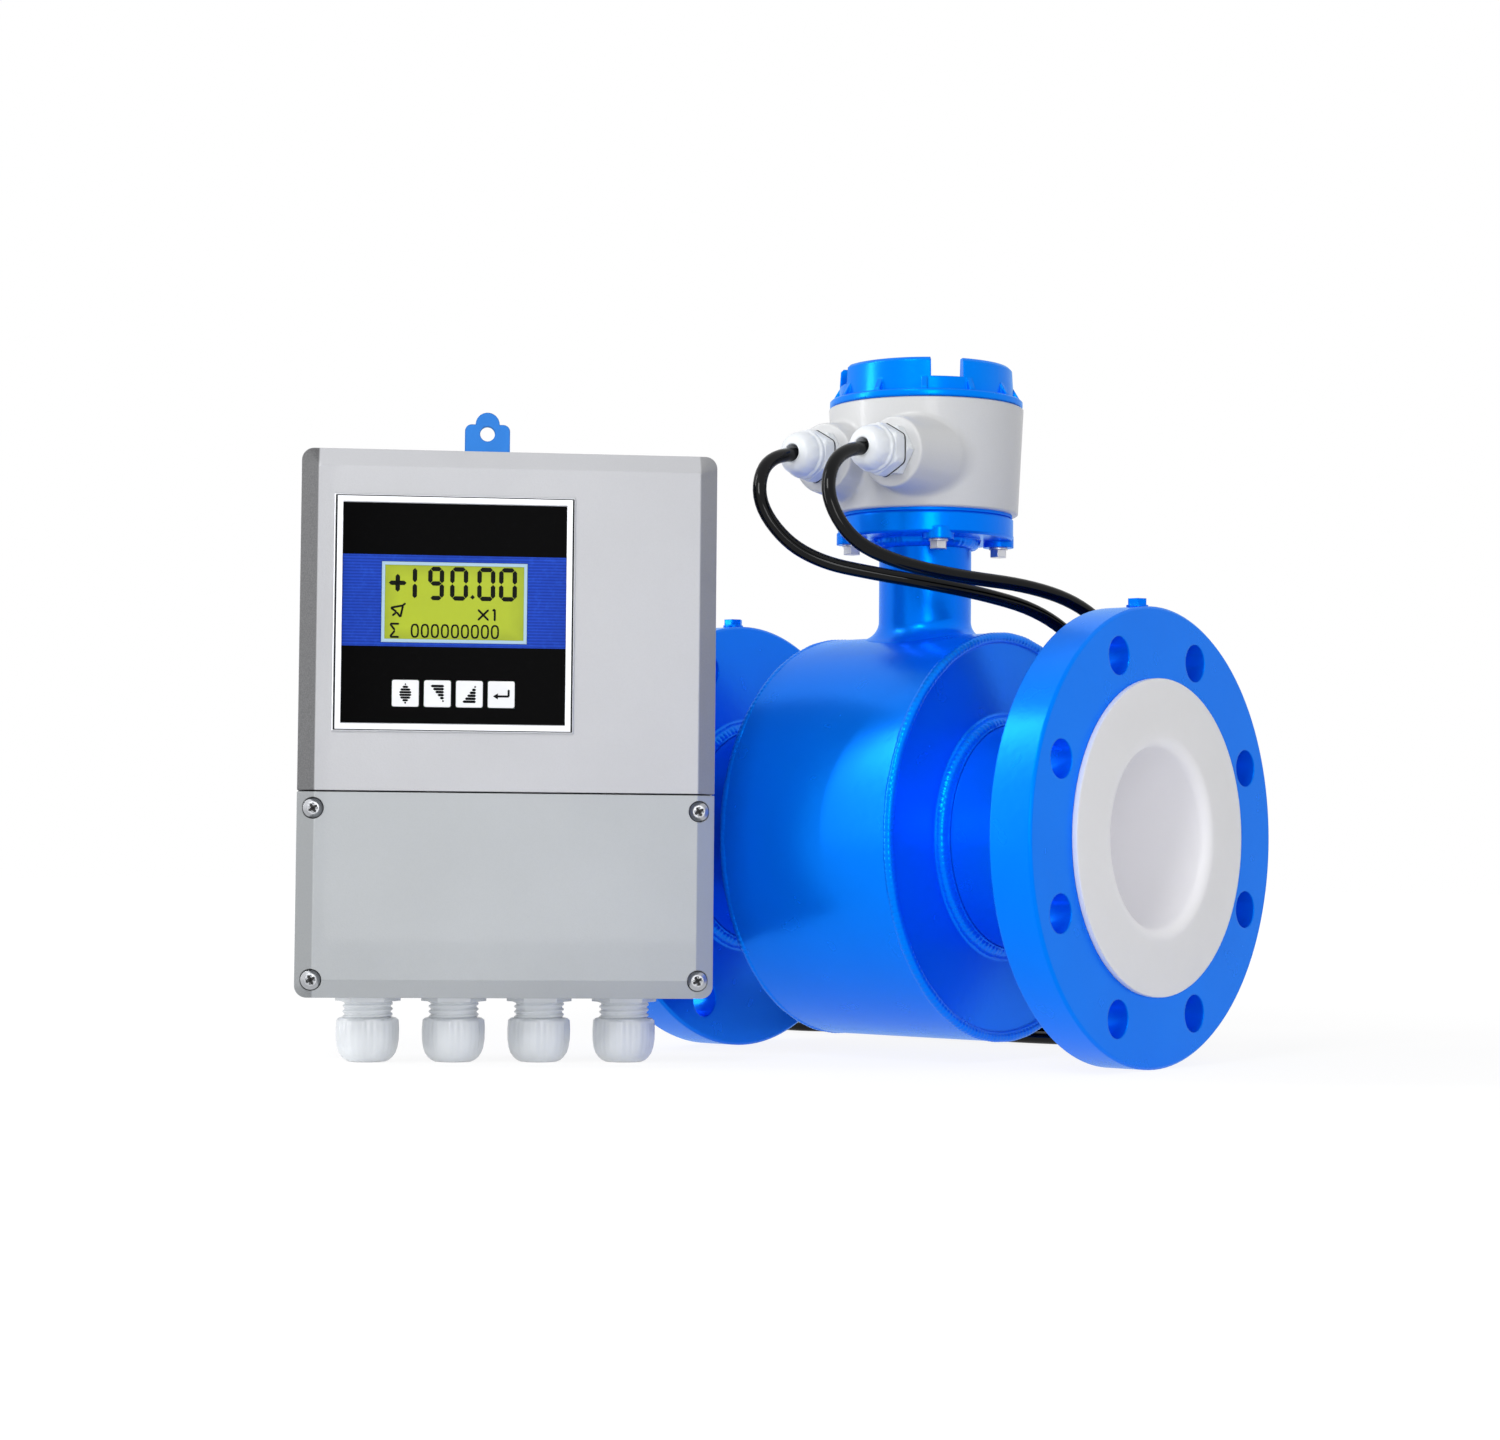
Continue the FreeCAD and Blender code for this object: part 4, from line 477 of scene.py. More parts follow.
def display_glass(name, base):
    """Reflective display: yellow-green field inside a pale bezel; painted shade darkens the field towards its
    edges, and a faint glow of painted light lifts the field.
    """
    finish = Finish(name)
    place = finish.converter_place()
    x, z = finish.axis(place, 0), finish.axis(place, 2)
    across = (x - (LCD_LEFT + 35.35) * MM).apply("ABSOLUTE")
    up = (z - (LCD_TOP - 19.7) * MM).apply("ABSOLUTE")
    side = finish.ramp(across, 0.0337, 0.0339)
    top = finish.ramp(up, 0.0180, 0.0182)
    bezel = side.apply("MAXIMUM", top)
    # Painted shade: the field grows darker towards its edges.
    edge_side = finish.ramp(across, 0.026, 0.0337)
    edge_top = finish.ramp(up, 0.012, 0.018)
    edge_shade = edge_side.apply("MAXIMUM", edge_top)
    field = finish.mix(edge_shade, base, shade(base, 0.78))
    cloud = finish.ramp(finish.noise(90.0, 3.0, 0.6, place), 0.3, 0.8)
    field = finish.mix(cloud * 0.3, field, shade(base, 1.2))
    finish.set("Base Color", finish.mix(bezel, field, linear(176, 206, 226)))
    finish.set("Roughness", 0.25 + 0.15 * bezel)
    # Painted light: a faint glow of the field.
    finish.set("Emission Color", finish.mix(bezel, field, (0.0, 0.0, 0.0)))
    finish.set("Emission Strength", 0.04)
    finish.set("Specular IOR Level", 0.12)
    finish.bump(finish.noise(2200.0, 1.0), 0.05, 0.0001)
    return finish.material


def ink(name, base):
    """Printed or liquid-crystal mark, and the painted shadow lines of the display frame: flat tone with a
    slight unevenness.
    """
    finish = Finish(name)
    thin = finish.ramp(finish.noise(700.0, 3.0), 0.4, 0.8)
    finish.set("Base Color", finish.mix(thin * 0.4, base, shade(base, 1.8)))
    finish.set("Roughness", 0.6 + 0.1 * thin)
    finish.set("Specular IOR Level", 0.1)
    return finish.material


# ---------------------------------------------------------------- meshes
def circle(count):
    """Evenly spaced bearings of a full circle, in radians."""
    return np.linspace(0, 2 * math.pi, count, endpoint=False)


def turned(x, y, angle):
    """Coordinates turned about +Z by an angle in radians."""
    c, s = math.cos(angle), math.sin(angle)
    return c * x - s * y, s * x + c * y


def round_y(x, y, z, reach, turn):
    """Points at a reach and bearing from an axis that runs along Y through x and z."""
    y = y + 0 * (reach + turn)
    return np.stack([x + reach * np.cos(turn), y, z + reach * np.sin(turn)], -1)


def round_z(x, y, z, reach, turn):
    """Points at a reach and bearing from an upright axis through x and y."""
    z = z + 0 * (reach + turn)
    return np.stack([x + reach * np.cos(turn), y + reach * np.sin(turn), z], -1)


def grid_mesh(points, wrap_rows=False, wrap_columns=True, cap_start=False, cap_end=False):
    """Vertices and faces of a surface given as a grid of points.

    Point (i, j) joins points (i+1, j), (i+1, j+1) and (i, j+1); a cap is a fan from the middle of an end row.
    """
    rows, columns = points.shape[:2]
    vertices = points.reshape(-1, 3)
    i = np.arange(rows if wrap_rows else rows - 1)[:, None]
    j = np.arange(columns if wrap_columns else columns - 1)[None, :]
    i2, j2 = (i + 1) % rows, (j + 1) % columns
    corners = [i * columns + j, i2 * columns + j, i2 * columns + j2, i * columns + j2]
    faces = [tuple(face) for face in np.stack(corners, -1).reshape(-1, 4).tolist()]
    for wanted, row, turn in ((cap_start, 0, 1), (cap_end, rows - 1, -1)):
        if wanted:
            middle = len(vertices)
            vertices = np.vstack([vertices, points[row].mean(0)])
            ring = row * columns + np.arange(columns)
            nexts = row * columns + (np.arange(columns) + 1) % columns
            fan = np.stack([np.full(columns, middle), ring, nexts][::turn], -1)
            faces += [tuple(face) for face in fan.tolist()]
    return vertices, faces


def outward(vertices, faces):
    """Faces turned so that the enclosed volume is positive."""
    corners = np.array([face[:3] for face in faces] + [(f[0], f[2], f[3]) for f in faces if len(f) == 4])
    a, b, c = vertices[corners[:, 0]], vertices[corners[:, 1]], vertices[corners[:, 2]]
    volume = np.einsum("ij,ij->", a, np.cross(b, c))
    return faces if volume > 0 else [face[::-1] for face in faces]


def piece(name, shells, material, body="instrument", crease=40.0):
    """Object made of closed shells in millimetres, smooth except at edges sharper than the crease angle."""
    vertices, faces, start = [], [], 0
    for points, shell in shells:
        centred = points - points.mean(0)
        faces += [tuple(index + start for index in face) for face in outward(centred, shell)]
        vertices.append(points)
        start += len(points)
    mesh = bpy.data.meshes.new(name)
    mesh.from_pydata((np.vstack(vertices) * MM).tolist(), [], faces)
    mesh.shade_smooth()
    mesh.set_sharp_from_angle(angle=math.radians(crease))
    mesh.materials.append(material)
    thing = bpy.data.objects.new(name, mesh)
    bpy.context.scene.collection.objects.link(thing)
    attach(thing, body)
    return thing


def to_world(points):
    """Points of the converter's own frame in the sensor's frame."""
    x, y = turned(points[..., 0], points[..., 1], CONVERTER_ANGLE)
    return np.stack([x, y, points[..., 2]], -1) + np.array(CONVERTER_AT)


def dress(nodes, material):
    """Give CAD nodes a finish."""
    for name in nodes:
        slots = NODES[name].material_slots
        if not slots:
            raise RuntimeError(name + " has no material slot")
        for slot in slots:
            slot.material = material


def dress_slots(finishes):
    """Give the CAD nodes of each material slot its finish."""
    for wanted, material in finishes.items():
        dress([name for name, slot in SLOT_OF.items() if slot == wanted], material)


# ---------------------------------------------------------------- cables
def coil_points(centre, entry, total):
    """Control points of the put-away turns, wound clockwise.

    The angle falls steadily; radius and height follow a list of sixteen places, four rows of four turns,
    and slide to the next place over the last sixth of each turn. A quadratic curve on n points a turn runs
    at radius R cos(pi/n), so the points stand at R / cos(pi/n).
    """
    step = 360.0 / COIL_POINTS
    angle = np.arange(step / 2, total, step)
    turn = np.minimum(angle // 360, 15).astype(int)
    slide = np.clip((angle / 360 - turn - 5 / 6) * 6, 0, 1)
    slide = slide * slide * (3 - 2 * slide)
    place = np.arange(17)
    row = np.minimum(place // 4, 3)
    column = np.where(row % 2 == 0, place % 4, 3 - place % 4)
    radii = np.array(COIL_RADII)[column]
    heights = COIL_TOP_Z - COIL_PITCH * row
    radii[16], heights[16] = radii[15], heights[15]
    radius = radii[turn] + (radii[turn + 1] - radii[turn]) * slide
    height = heights[turn] + (heights[turn + 1] - heights[turn]) * slide
    bearing = np.radians(entry - angle)
    reach = radius / math.cos(math.pi / COIL_POINTS)
    return np.stack([centre[0] + reach * np.cos(bearing), centre[1] + reach * np.sin(bearing), height], -1)


def cable(name, route, centre, entry, total):
    """Cable as one smooth curve: its free run, its coil and the straight lead to its prepared end."""
    sizes = bpy.context.scene.flowmeter_sizes
    coil = coil_points(centre, entry, total)
    leave = math.radians(entry - total)
    heading = leave - math.pi / 2
    outer = COIL_RADII[0]
    start = np.array([centre[0] + outer * math.cos(leave), centre[1] + outer * math.sin(leave)])
    ahead = np.array([math.cos(heading), math.sin(heading)])
    tail = [(*(start + ahead * reach), COIL_LOW_Z) for reach in (8.0, 22.0, 36.0)]
    begin = math.radians(entry)
    first = (centre[0] + outer * math.cos(begin), centre[1] + outer * math.sin(begin), COIL_TOP_Z)
    points = np.vstack([np.array(route, float), [first], coil, tail]) * MM
    curve = bpy.data.curves.new(name, "CURVE")
    curve.dimensions = "3D"
    curve.bevel_depth = sizes.cable_diameter / 2
    curve.bevel_resolution = 4
    curve.resolution_u = 6
    curve.use_fill_caps = True
    spline = curve.splines.new("NURBS")
    spline.points.add(len(points) - 1)
    spline.points.foreach_set("co", np.hstack([points, np.ones((len(points), 1))]).ravel())
    spline.order_u = 3
    spline.use_endpoint_u = True
    thing = bpy.data.objects.new(name, curve)
    bpy.context.scene.collection.objects.link(thing)
    curve.materials.append(bpy.data.materials["jacket black"])
    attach(thing, "instrument")
    stem = name.replace("_cord", "")
    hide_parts(stem + "_cable", stem + "_coil")
    ties = [cable_tie(f"{stem}_tie_{k}", centre, angle) for k, angle in enumerate((40.0, 200.0))]


def cable_tie(name, centre, angle):
    """Tie round a coil: a flat band carried round a rounded square, with its ratchet head.

    The square's corner arcs have the radius of a turn; the band's section is a rectangle across the path.
    """
    width = bpy.context.scene.flowmeter_sizes.tie_width / MM
    half, corner, thick = COIL_HEIGHT / 2, COIL_PITCH / 2, TIE_THICKNESS
    turn = np.radians(np.arange(0, 360, 7.5) + 0.01)
    square = np.stack([np.cos(turn), np.sin(turn)], -1)
    flat = np.sign(square) * (half - corner)
    section = np.array([[0.0, -width / 2], [thick, -width / 2], [thick, width / 2], [0.0, width / 2]])
    path = flat[:, None, :] + square[:, None, :] * (corner + section[None, :, :1] - 0.2)
    radial = COIL_MIDDLE_R + path[..., 0]
    height = np.maximum(FLOOR_Z + half + path[..., 1], FLOOR_Z + 0.05)
    along = np.broadcast_to(section[None, :, 1], radial.shape)
    bearing = math.radians(angle)
    x, y = turned(radial, along, bearing)
    band = np.stack([centre[0] + x, centre[1] + y, height], -1)
    block = rounded_block((3.6, width + 1.8, 4.2))
    x, y = turned(block[..., 0] + COIL_MIDDLE_R + 2.0, block[..., 1], bearing)
    head = np.stack([centre[0] + x, centre[1] + y, block[..., 2] + FLOOR_Z + COIL_HEIGHT + 1.0], -1)
    shells = [grid_mesh(band, wrap_rows=True), grid_mesh(head, cap_start=True, cap_end=True)]
    return piece(name, shells, bpy.data.materials["tie black"])


def rounded_block(size, squareness=0.3):
    """Superellipsoid of a given size, from powers of the cosines and sines of two angles."""
    up = np.radians(np.linspace(-88, 88, 15))[:, None]
    around = np.radians(np.arange(0, 360, 10) + 0.5)[None, :]

    def soft(value):
        return np.sign(value) * np.abs(value) ** squareness

    level = np.broadcast_to(soft(np.sin(up)), (15, 36))
    flat = soft(np.cos(up))
    unit = np.stack([flat * soft(np.cos(around)), flat * soft(np.sin(around)), level], -1)
    return unit * np.array(size) / 2


# ---------------------------------------------------------------- sensor
def ring_bead(radius, middle_x, section, centre_x=0.0, centre_r=0.0):
    """Weld bead round the pipe: a torus whose section swells and shrinks with each ripple.

    The section radius is section + height times a rectified sine of the bearing, so that ripples meet in
    narrow valleys as laid metal does, and each ripple leans a little along the seam.
    """
    sizes = bpy.context.scene.flowmeter_sizes
    count = round(2 * math.pi * radius * MM / sizes.weld_pitch)
    turn = circle(count * 6)[:, None]
    round_section = circle(16)[None, :]
    lean = turn + 0.35 / count * np.cos(round_section)
    swell = np.abs(np.sin(lean * count / 2)) ** 0.6
    uneven = 0.18 * np.sin(turn * 17) + 0.12 * np.sin(turn * 41 + 1.0)
    size = section + sizes.weld_ripple / MM * (swell - 0.6) + 0.5 * uneven
    across = middle_x + centre_x + size * np.cos(round_section)
    out = radius + centre_r + size * np.sin(round_section)
    points = np.stack([across, out * np.sin(turn), out * np.cos(turn)], -1)
    return grid_mesh(points, wrap_rows=True)


def upright_bead(radius, height, section):
    """Weld bead round the neck: the same rippled torus, lying level."""
    points, faces = ring_bead(radius, 0.0, section)
    return np.stack([points[:, 2], points[:, 1], points[:, 0] + height], -1), faces


def neck_surface():
    """Neck tube with the flare of its weld at the foot, closed by its inner wall.

    Over the last quarter arc the outer radius grows by flare times 1 - sin t while the height above the
    housing falls by flare times 1 - cos t, and the foot follows the housing: z = sqrt(R^2 - y^2).
    """
    around = circle(180)[None, :]
    arc = np.linspace(0, math.pi / 2, 14)[:, None]
    radius = NECK_R + NECK_FLARE * (1 - np.sin(arc)) + 0 * around
    rise = NECK_FLARE * (1 - np.cos(arc)) + 0 * around
    radius = np.vstack([radius, np.full((1, 180), NECK_R)])
    y = radius * np.sin(around)
    crest = np.sqrt((SHELL_R - 0.2) ** 2 - y ** 2)
    z = np.vstack([crest[:-1] + rise, np.full((1, 180), NECK_FLANGE_Z + 1.0)])
    outer = np.stack([radius * np.cos(around), y, z], -1)
    inner_r = np.full((2, 180), NECK_IN_R)
    inner_y = inner_r * np.sin(around)
    inner_z = np.vstack([np.full((1, 180), NECK_FLANGE_Z + 1.0), np.sqrt(SHELL_R ** 2 - inner_y[:1] ** 2)])
    inner = np.stack([inner_r * np.cos(around), inner_y, inner_z], -1)
    return grid_mesh(np.vstack([outer, inner]), wrap_rows=True)


def boss_shape(x, y, z, blend):
    """Signed height of a point over the junction box: smooth union of a cone and two tapering bosses."""
    share = (z - BOX_Z) / (BOX_TOP_Z - BOX_Z)
    body = np.hypot(x, y) - (BOX_R[0] + (BOX_R[1] - BOX_R[0]) * share)
    for side in (-BOSS_X, BOSS_X):
        taper = BOSS_R + BOSS_FLARE * np.clip((y - BOSS_FACE_Y) / 30.0, 0, 1)
        wall = np.hypot(x - side, z - BOSS_Z) - taper
        face = BOSS_FACE_Y - y
        boss = np.maximum(np.maximum(wall, face), y)
        near = np.clip((wall + 1.2) / 1.2, 0, None) * np.clip((face + 1.2) / 1.2, 0, None)
        boss = boss + np.where((wall > -1.2) & (face > -1.2), 0.35 * near, 0.0)
        gap = np.clip(0.5 + 0.5 * (boss - body) / blend, 0, 1)
        body = boss + (body - boss) * gap - blend * gap * (1 - gap)
    return body


def box_surface():
    """Junction box: for each bearing and height the furthest crossing of its shape, then rim, bore and floor.

    Crossings are found on all rays at once, first on a row of samples and then by halving.
    """
    blend = bpy.context.scene.flowmeter_sizes.boss_blend / MM
    even = np.arange(-180, 180, 1.5)
    fine = np.concatenate([np.arange(-150, -30, 0.5), -90 + np.linspace(-7, 7, 57)])
    bearing = np.radians(np.unique(np.round(np.concatenate([even, fine]), 4)))[None, :]
    height = np.concatenate([np.linspace(BOX_Z, 172, 4), np.linspace(172.6, 216.5, 96),
                             np.linspace(217.5, BOX_TOP_Z, 6)])[:, None]
    c, s = np.cos(bearing), np.sin(bearing)
    reach = np.linspace(44, 76, 65)
    inside = np.stack([boss_shape(r * c, r * s, height + 0 * c, blend) < 0 for r in reach])
    last = len(reach) - 1 - np.argmax(inside[::-1], axis=0)
    low, high = reach[last], reach[np.minimum(last + 1, len(reach) - 1)]
    for _ in range(18):
        middle = (low + high) / 2
        within = boss_shape(middle * c, middle * s, height + 0 * c, blend) < 0
        low, high = np.where(within, middle, low), np.where(within, high, middle)
    outer = np.stack([low * c, low * s, height + 0 * low], -1)
    rings = [(BOX_R[0] - 0.8, BOX_Z), (BOX_R[1] - 0.7, BOX_TOP_Z),
             (BOX_IN_R, BOX_TOP_Z), (BOX_IN_R, BOX_FLOOR_Z)]
    level = [round_z(0, 0, z, r, bearing) for r, z in rings]
    outer[0, :, 2] += 0.6
    outer[-1, :, 2] -= 0.6
    shell = np.concatenate([level[0], outer, level[1], level[2], level[3]])
    return grid_mesh(shell, cap_start=True, cap_end=True)


def hexagon_reach(bearing, across):
    """Distance from a hexagon's middle to its side: half its width over the cosine from the nearest flat."""
    return across / 2 / np.cos((bearing + math.pi / 6) % (math.pi / 3) - math.pi / 6)


def gland_ring(side):
    """Sealing ring that shows behind the nut: a band outlined as the nut's hexagon, slightly larger."""
    turn = circle(144)[:, None]
    section = circle(10)[None, :]
    outline = np.minimum(hexagon_reach(turn, 24.0), 13.3)
    out = outline - 0.45 + 0.8 * np.cos(section)
    points = round_y(side, NUT_BACK_Y + 0.6 * np.sin(section), BOSS_Z, out, turn)
    return grid_mesh(points, wrap_rows=True)


def box_nut(side):
    """Clamping nut of a gland on the junction box: hexagon, groove, collar, fluted dome, round mouth.

    Each row has a distance along the axis, a round radius, a width across flats and a flute depth. The
    outline is the smaller of circle and hexagon, less the flutes, which are twelve shallow cosine waves.
    """
    dome = np.linspace(0.0, 0.985, 12)
    crown = np.stack([12.0 + 8.6 * dome, 5.6 + 5.9 * np.sqrt(1 - dome ** 2), 0 * dome + ROUND,
                      0.28 * (1 - dome)], -1)
    flats = [(0.0, 12.8), (0.7, 13.4), (6.6, 13.4), (7.6, 12.5)]
    collar = [(7.9, 11.7), (9.0, 11.6), (9.3, 12.3), (10.9, 12.3)]
    mouth = [(20.6, 5.5), (20.5, 4.5), (19.8, 4.25), (1.0, 4.25)]
    rows = np.vstack([[(*row, 24.0, 0.0) for row in flats], [(*row, ROUND, 0.0) for row in collar],
                      [(11.4, 11.8, ROUND, 0.1)], crown, [(*row, ROUND, 0.0) for row in mouth]])
    turn = np.radians(np.arange(0, 360, 2.5))[None, :]
    reach = np.minimum(rows[:, 1:2], hexagon_reach(turn, 1.0) * rows[:, 2:3])
    reach = reach - rows[:, 3:4] * (0.5 + 0.5 * np.cos(12 * turn))
    return grid_mesh(round_y(side, NUT_BACK_Y - rows[:, :1], BOSS_Z, reach, turn), wrap_rows=True)


def converter_nut(x):
    """Clamping nut of a gland under the converter: a hexagon with rounded corners, swelling like a barrel.

    Each row has a height, a round radius and a width across flats; fine ribs run down the flats.
    """
    rows = np.array([(22.0, 12.6, 27.0), (21.6, 14.2, 28.4), (20.6, 15.3, 29.0), (16.0, 15.6, 29.6),
                     (11.0, 15.5, 29.6), (7.0, 14.9, 28.6), (4.2, 13.9, 26.8), (2.2, 12.5, 24.6),
                     (0.8, 10.9, 22.0), (0.1, 9.4, 19.0),
                     (0.1, 7.8, ROUND), (0.8, 7.45, ROUND), (20.0, 7.45, ROUND)])
    turn = np.radians(np.arange(0, 360, 2.0))[None, :]
    reach = np.minimum(rows[:, 1:2], hexagon_reach(turn + math.radians(22), 1.0) * rows[:, 2:3])
    ribbed = (rows[:, :1] > 3) & (rows[:, :1] < 21) & (rows[:, 2:3] < ROUND)
    reach = reach + 0.08 * np.cos(30 * turn) * ribbed
    points, faces = grid_mesh(round_z(x, GLAND_ROW_Y, rows[:, :1], reach, turn), wrap_rows=True)
    return to_world(points), faces


def gland_thread(x):
    """Threaded neck over a gland's nut: radius 11.9 plus a rounded ridge that climbs 2.6 a turn."""
    turn = circle(72)[None, :]
    height = np.linspace(21.0, 30.2, 47)[:, None]
    wave = np.cos(2 * math.pi * height / 2.6 - turn)
    reach = 11.95 + 0.5 * np.sign(wave) * np.abs(wave) ** 0.6 + 0.9 * np.clip((height - 29.0) / 1.2, 0, 1)
    outer = round_z(x, GLAND_ROW_Y, height, reach, turn)
    inner = round_z(x, GLAND_ROW_Y, height[[-1, 0]], np.full((2, 1), 10.5), turn)
    points, faces = grid_mesh(np.vstack([outer, inner]), wrap_rows=True)
    return to_world(points), faces


def screw_recess(x, z):
    """Painted shadow in the seat and cross recess of a cover screw: a dark flat ring round the head and two
    crossed dark marks.
    """
    turn = circle(48)[:, None]
    section = circle(8)[None, :]
    out = 4.55 + 0.5 * np.cos(section)
    points, faces = grid_mesh(round_y(x, 3.6 + 0.6 * np.sin(section), z, out, turn), wrap_rows=True)
    tilt = math.radians(38.0 + 9.0 * math.sin(x + z))
    arms = []
    for angle in (tilt, tilt + math.pi / 2):
        dx, dz = 2.6 * math.cos(angle), 2.6 * math.sin(angle)
        arms.append((x - dx, z - dz, x + dx, z + dz))
    return [(to_world(points), faces)] + strokes(arms, 1.35, 1.52, 0.4)


# ---------------------------------------------------------------- markings
def strokes(lines, width, front, depth):
    """Straight marks with pointed ends, as the segments of a display: each is a hexagonal prism.

    A mark from a to b has its corners at a, b and at half a width in from them on both sides.
    """
    lines = np.array(lines, float)
    start, end = lines[:, :2], lines[:, 2:]
    along = (end - start) / np.linalg.norm(end - start, axis=1, keepdims=True)
    side = np.stack([-along[:, 1], along[:, 0]], -1) * width / 2
    inset = along * width / 2
    outline = np.stack([start, start + inset + side, end - inset + side, end, end - inset - side,
                        start + inset - side], 1)
    return prisms(outline, front, depth)


def prisms(outlines, front, depth):
    """Flat marks (n outlines of equal corner count, in x and z of the converter) with a small thickness."""
    shells = []
    for outline in outlines:
        rows = [np.column_stack([outline[:, 0], np.full(len(outline), y), outline[:, 1]])
                for y in (front, front + depth)]
        shells.append(grid_mesh(np.stack(rows), cap_start=True, cap_end=True))
    return [(to_world(points), faces) for points, faces in shells]


SEGMENTS = {"0": "abcdef", "1": "bc", "9": "abcdfg"}


def seven_segments(text, left, top, width, height):
    """Marks of one figure made of up to seven segments."""
    gap = 0.15
    right, middle, bottom = left + width, top - height / 2, top - height
    ends = {"a": (left + gap, top, right - gap, top), "g": (left + gap, middle, right - gap, middle),
            "d": (left + gap, bottom, right - gap, bottom), "b": (right, top - gap, right, middle + gap),
            "c": (right, middle - gap, right, bottom + gap), "f": (left, top - gap, left, middle + gap),
            "e": (left, middle - gap, left, bottom + gap)}
    return [ends[key] for key in SEGMENTS[text]]


def oval(left, top, width, height, stroke, front, depth):
    """Rounded zero of the small row: a superellipse outline with a lane of constant stroke."""
    turn = circle(24)[:, None]
    power = 0.75
    c = np.sign(np.cos(turn)) * np.abs(np.cos(turn)) ** power
    s = np.sign(np.sin(turn)) * np.abs(np.sin(turn)) ** power
    lane = np.array([[0.0, 0.0], [-stroke, 0.0], [-stroke, depth], [0.0, depth]])
    x = left + width / 2 + (width / 2 + lane[None, :, 0]) * c
    z = top - height / 2 + (height / 2 + lane[None, :, 0]) * s
    y = np.broadcast_to(front + lane[None, :, 1], x.shape)
    points, faces = grid_mesh(np.stack([x, y, z], -1), wrap_rows=True)
    return to_world(points), faces


def display_marks():
    """Marks of the display: a signed figure, a pointer sign, a multiplier and a row of nine zeros."""
    def at(x, z):
        return LCD_LEFT + x, LCD_TOP - z

    front, depth = LCD_GLASS_Y - 0.08, 0.1
    big = []
    for figure, x, wide in (("9", 23.5, 5.6), ("0", 34.2, 6.6), ("0", 47.4, 6.6), ("0", 58.0, 6.6)):
        left, top = at(x, 3.3)
        big += seven_segments(figure, left, top, wide, 14.2)
    x, z = at(16.0, 3.0)
    big += [(x, z, x, z - 7.0), (x, z - 7.6, x, z - 14.8)]
    x, z = at(7.7, 10.4)
    big += [(x - 4.3, z, x + 0.2, z), (x - 0.2, z, x + 4.3, z),
            (x, z - 0.2, x, z + 4.4), (x, z + 0.2, x, z - 4.4)]
    shells = strokes(big, 2.15, front, depth)
    x, z = at(44.1, 16.8)
    shells += strokes([(x - 1.15, z, x + 1.15, z)], 2.2, front, depth)
    small = []
    x, z = at(8.0, 24.0)
    small += [(x - 3.6, z + 1.4, x + 2.4, z + 2.6), (x + 2.4, z + 2.6, x + 1.2, z - 3.2),
              (x + 1.2, z - 3.2, x - 0.6, z - 0.6), (x - 0.6, z - 0.6, x - 3.6, z + 1.4),
              (x - 2.8, z - 2.6, x - 0.6, z - 0.6), (x + 2.0, z + 2.4, x + 3.8, z + 3.8)]
    x, z = at(49.4, 25.4)
    small += [(x - 2.7, z - 2.7, x + 2.7, z + 2.7), (x - 2.7, z + 2.7, x + 2.7, z - 2.7)]
    x, z = at(55.0, 25.4)
    small += [(x, z - 3.0, x, z + 3.0), (x - 1.2, z + 1.9, x + 0.1, z + 3.0)]
    x, z = at(4.2, 30.4)
    small += [(x, z, x + 4.6, z), (x, z, x + 2.5, z - 3.2),
              (x + 2.5, z - 3.2, x, z - 6.4), (x, z - 6.4, x + 4.6, z - 6.4)]
    shells += strokes(small, 1.0, front, depth)
    for k in range(9):
        left, top = at(14.3 + 4.86 * k, 30.2)
        shells.append(oval(left, top, 4.0, 6.9, 0.85, front, depth))
    return shells


def frame_lines():
    """Dark shadow lines in the outer edge of the display frame, broad at the sides, fine above and below."""
    x0, x1 = PANEL_X - FRAME_HALF_W, PANEL_X + FRAME_HALF_W
    z0, z1 = PANEL_Z - FRAME_HALF_H, PANEL_Z + FRAME_HALF_H
    sides = [(x0 + 0.45, z0, x0 + 0.45, z1), (x1 - 0.45, z0, x1 - 0.45, z1)]
    level = [(x0, z0 + 0.25, x1, z0 + 0.25), (x0, z1 - 0.25, x1, z1 - 0.25)]
    return strokes(sides, 0.9, FRAME_FRONT_Y - 0.03, 0.1) + strokes(level, 0.5, FRAME_FRONT_Y - 0.03, 0.1)


def key_marks(index):
    """Sign of one key: a barred diamond, a falling wedge, a rising wedge or an enter arrow."""
    x, z = KEY_X[index], KEY_Z
    front, depth = KEY_FRONT_Y - 0.07, 0.12
    if index == 0:
        bars = [(0.5, 4.4), (1.5, 3.1), (2.5, 1.8), (3.0, 0.5),
                (3.0, -0.8), (2.5, -2.1), (1.5, -3.4), (0.6, -4.6)]
        return strokes([(x - half, z + rise, x + half, z + rise) for half, rise in bars], 1.1, front, depth)
    if index in (1, 2):
        turn = 1 if index == 1 else -1
        bars = [(6.6 - 1.1 * k, turn * (3.7 - 1.45 * k)) for k in range(6)]
        wedge = [(x + 3.3 - long, z + rise, x + 3.3, z + rise) for long, rise in bars]
        return strokes(wedge, 1.25, front, depth)
    shaft = [(x + 3.6, z - 1.2, x + 3.6, z + 2.6), (x + 4.0, z - 0.9, x - 2.2, z - 0.9)]
    head = np.array([[[x - 4.0, z - 0.9], [x - 1.6, z + 0.6], [x - 1.6, z - 2.4]]])
    return strokes(shaft, 1.05, front, depth) + prisms(head, front, depth)


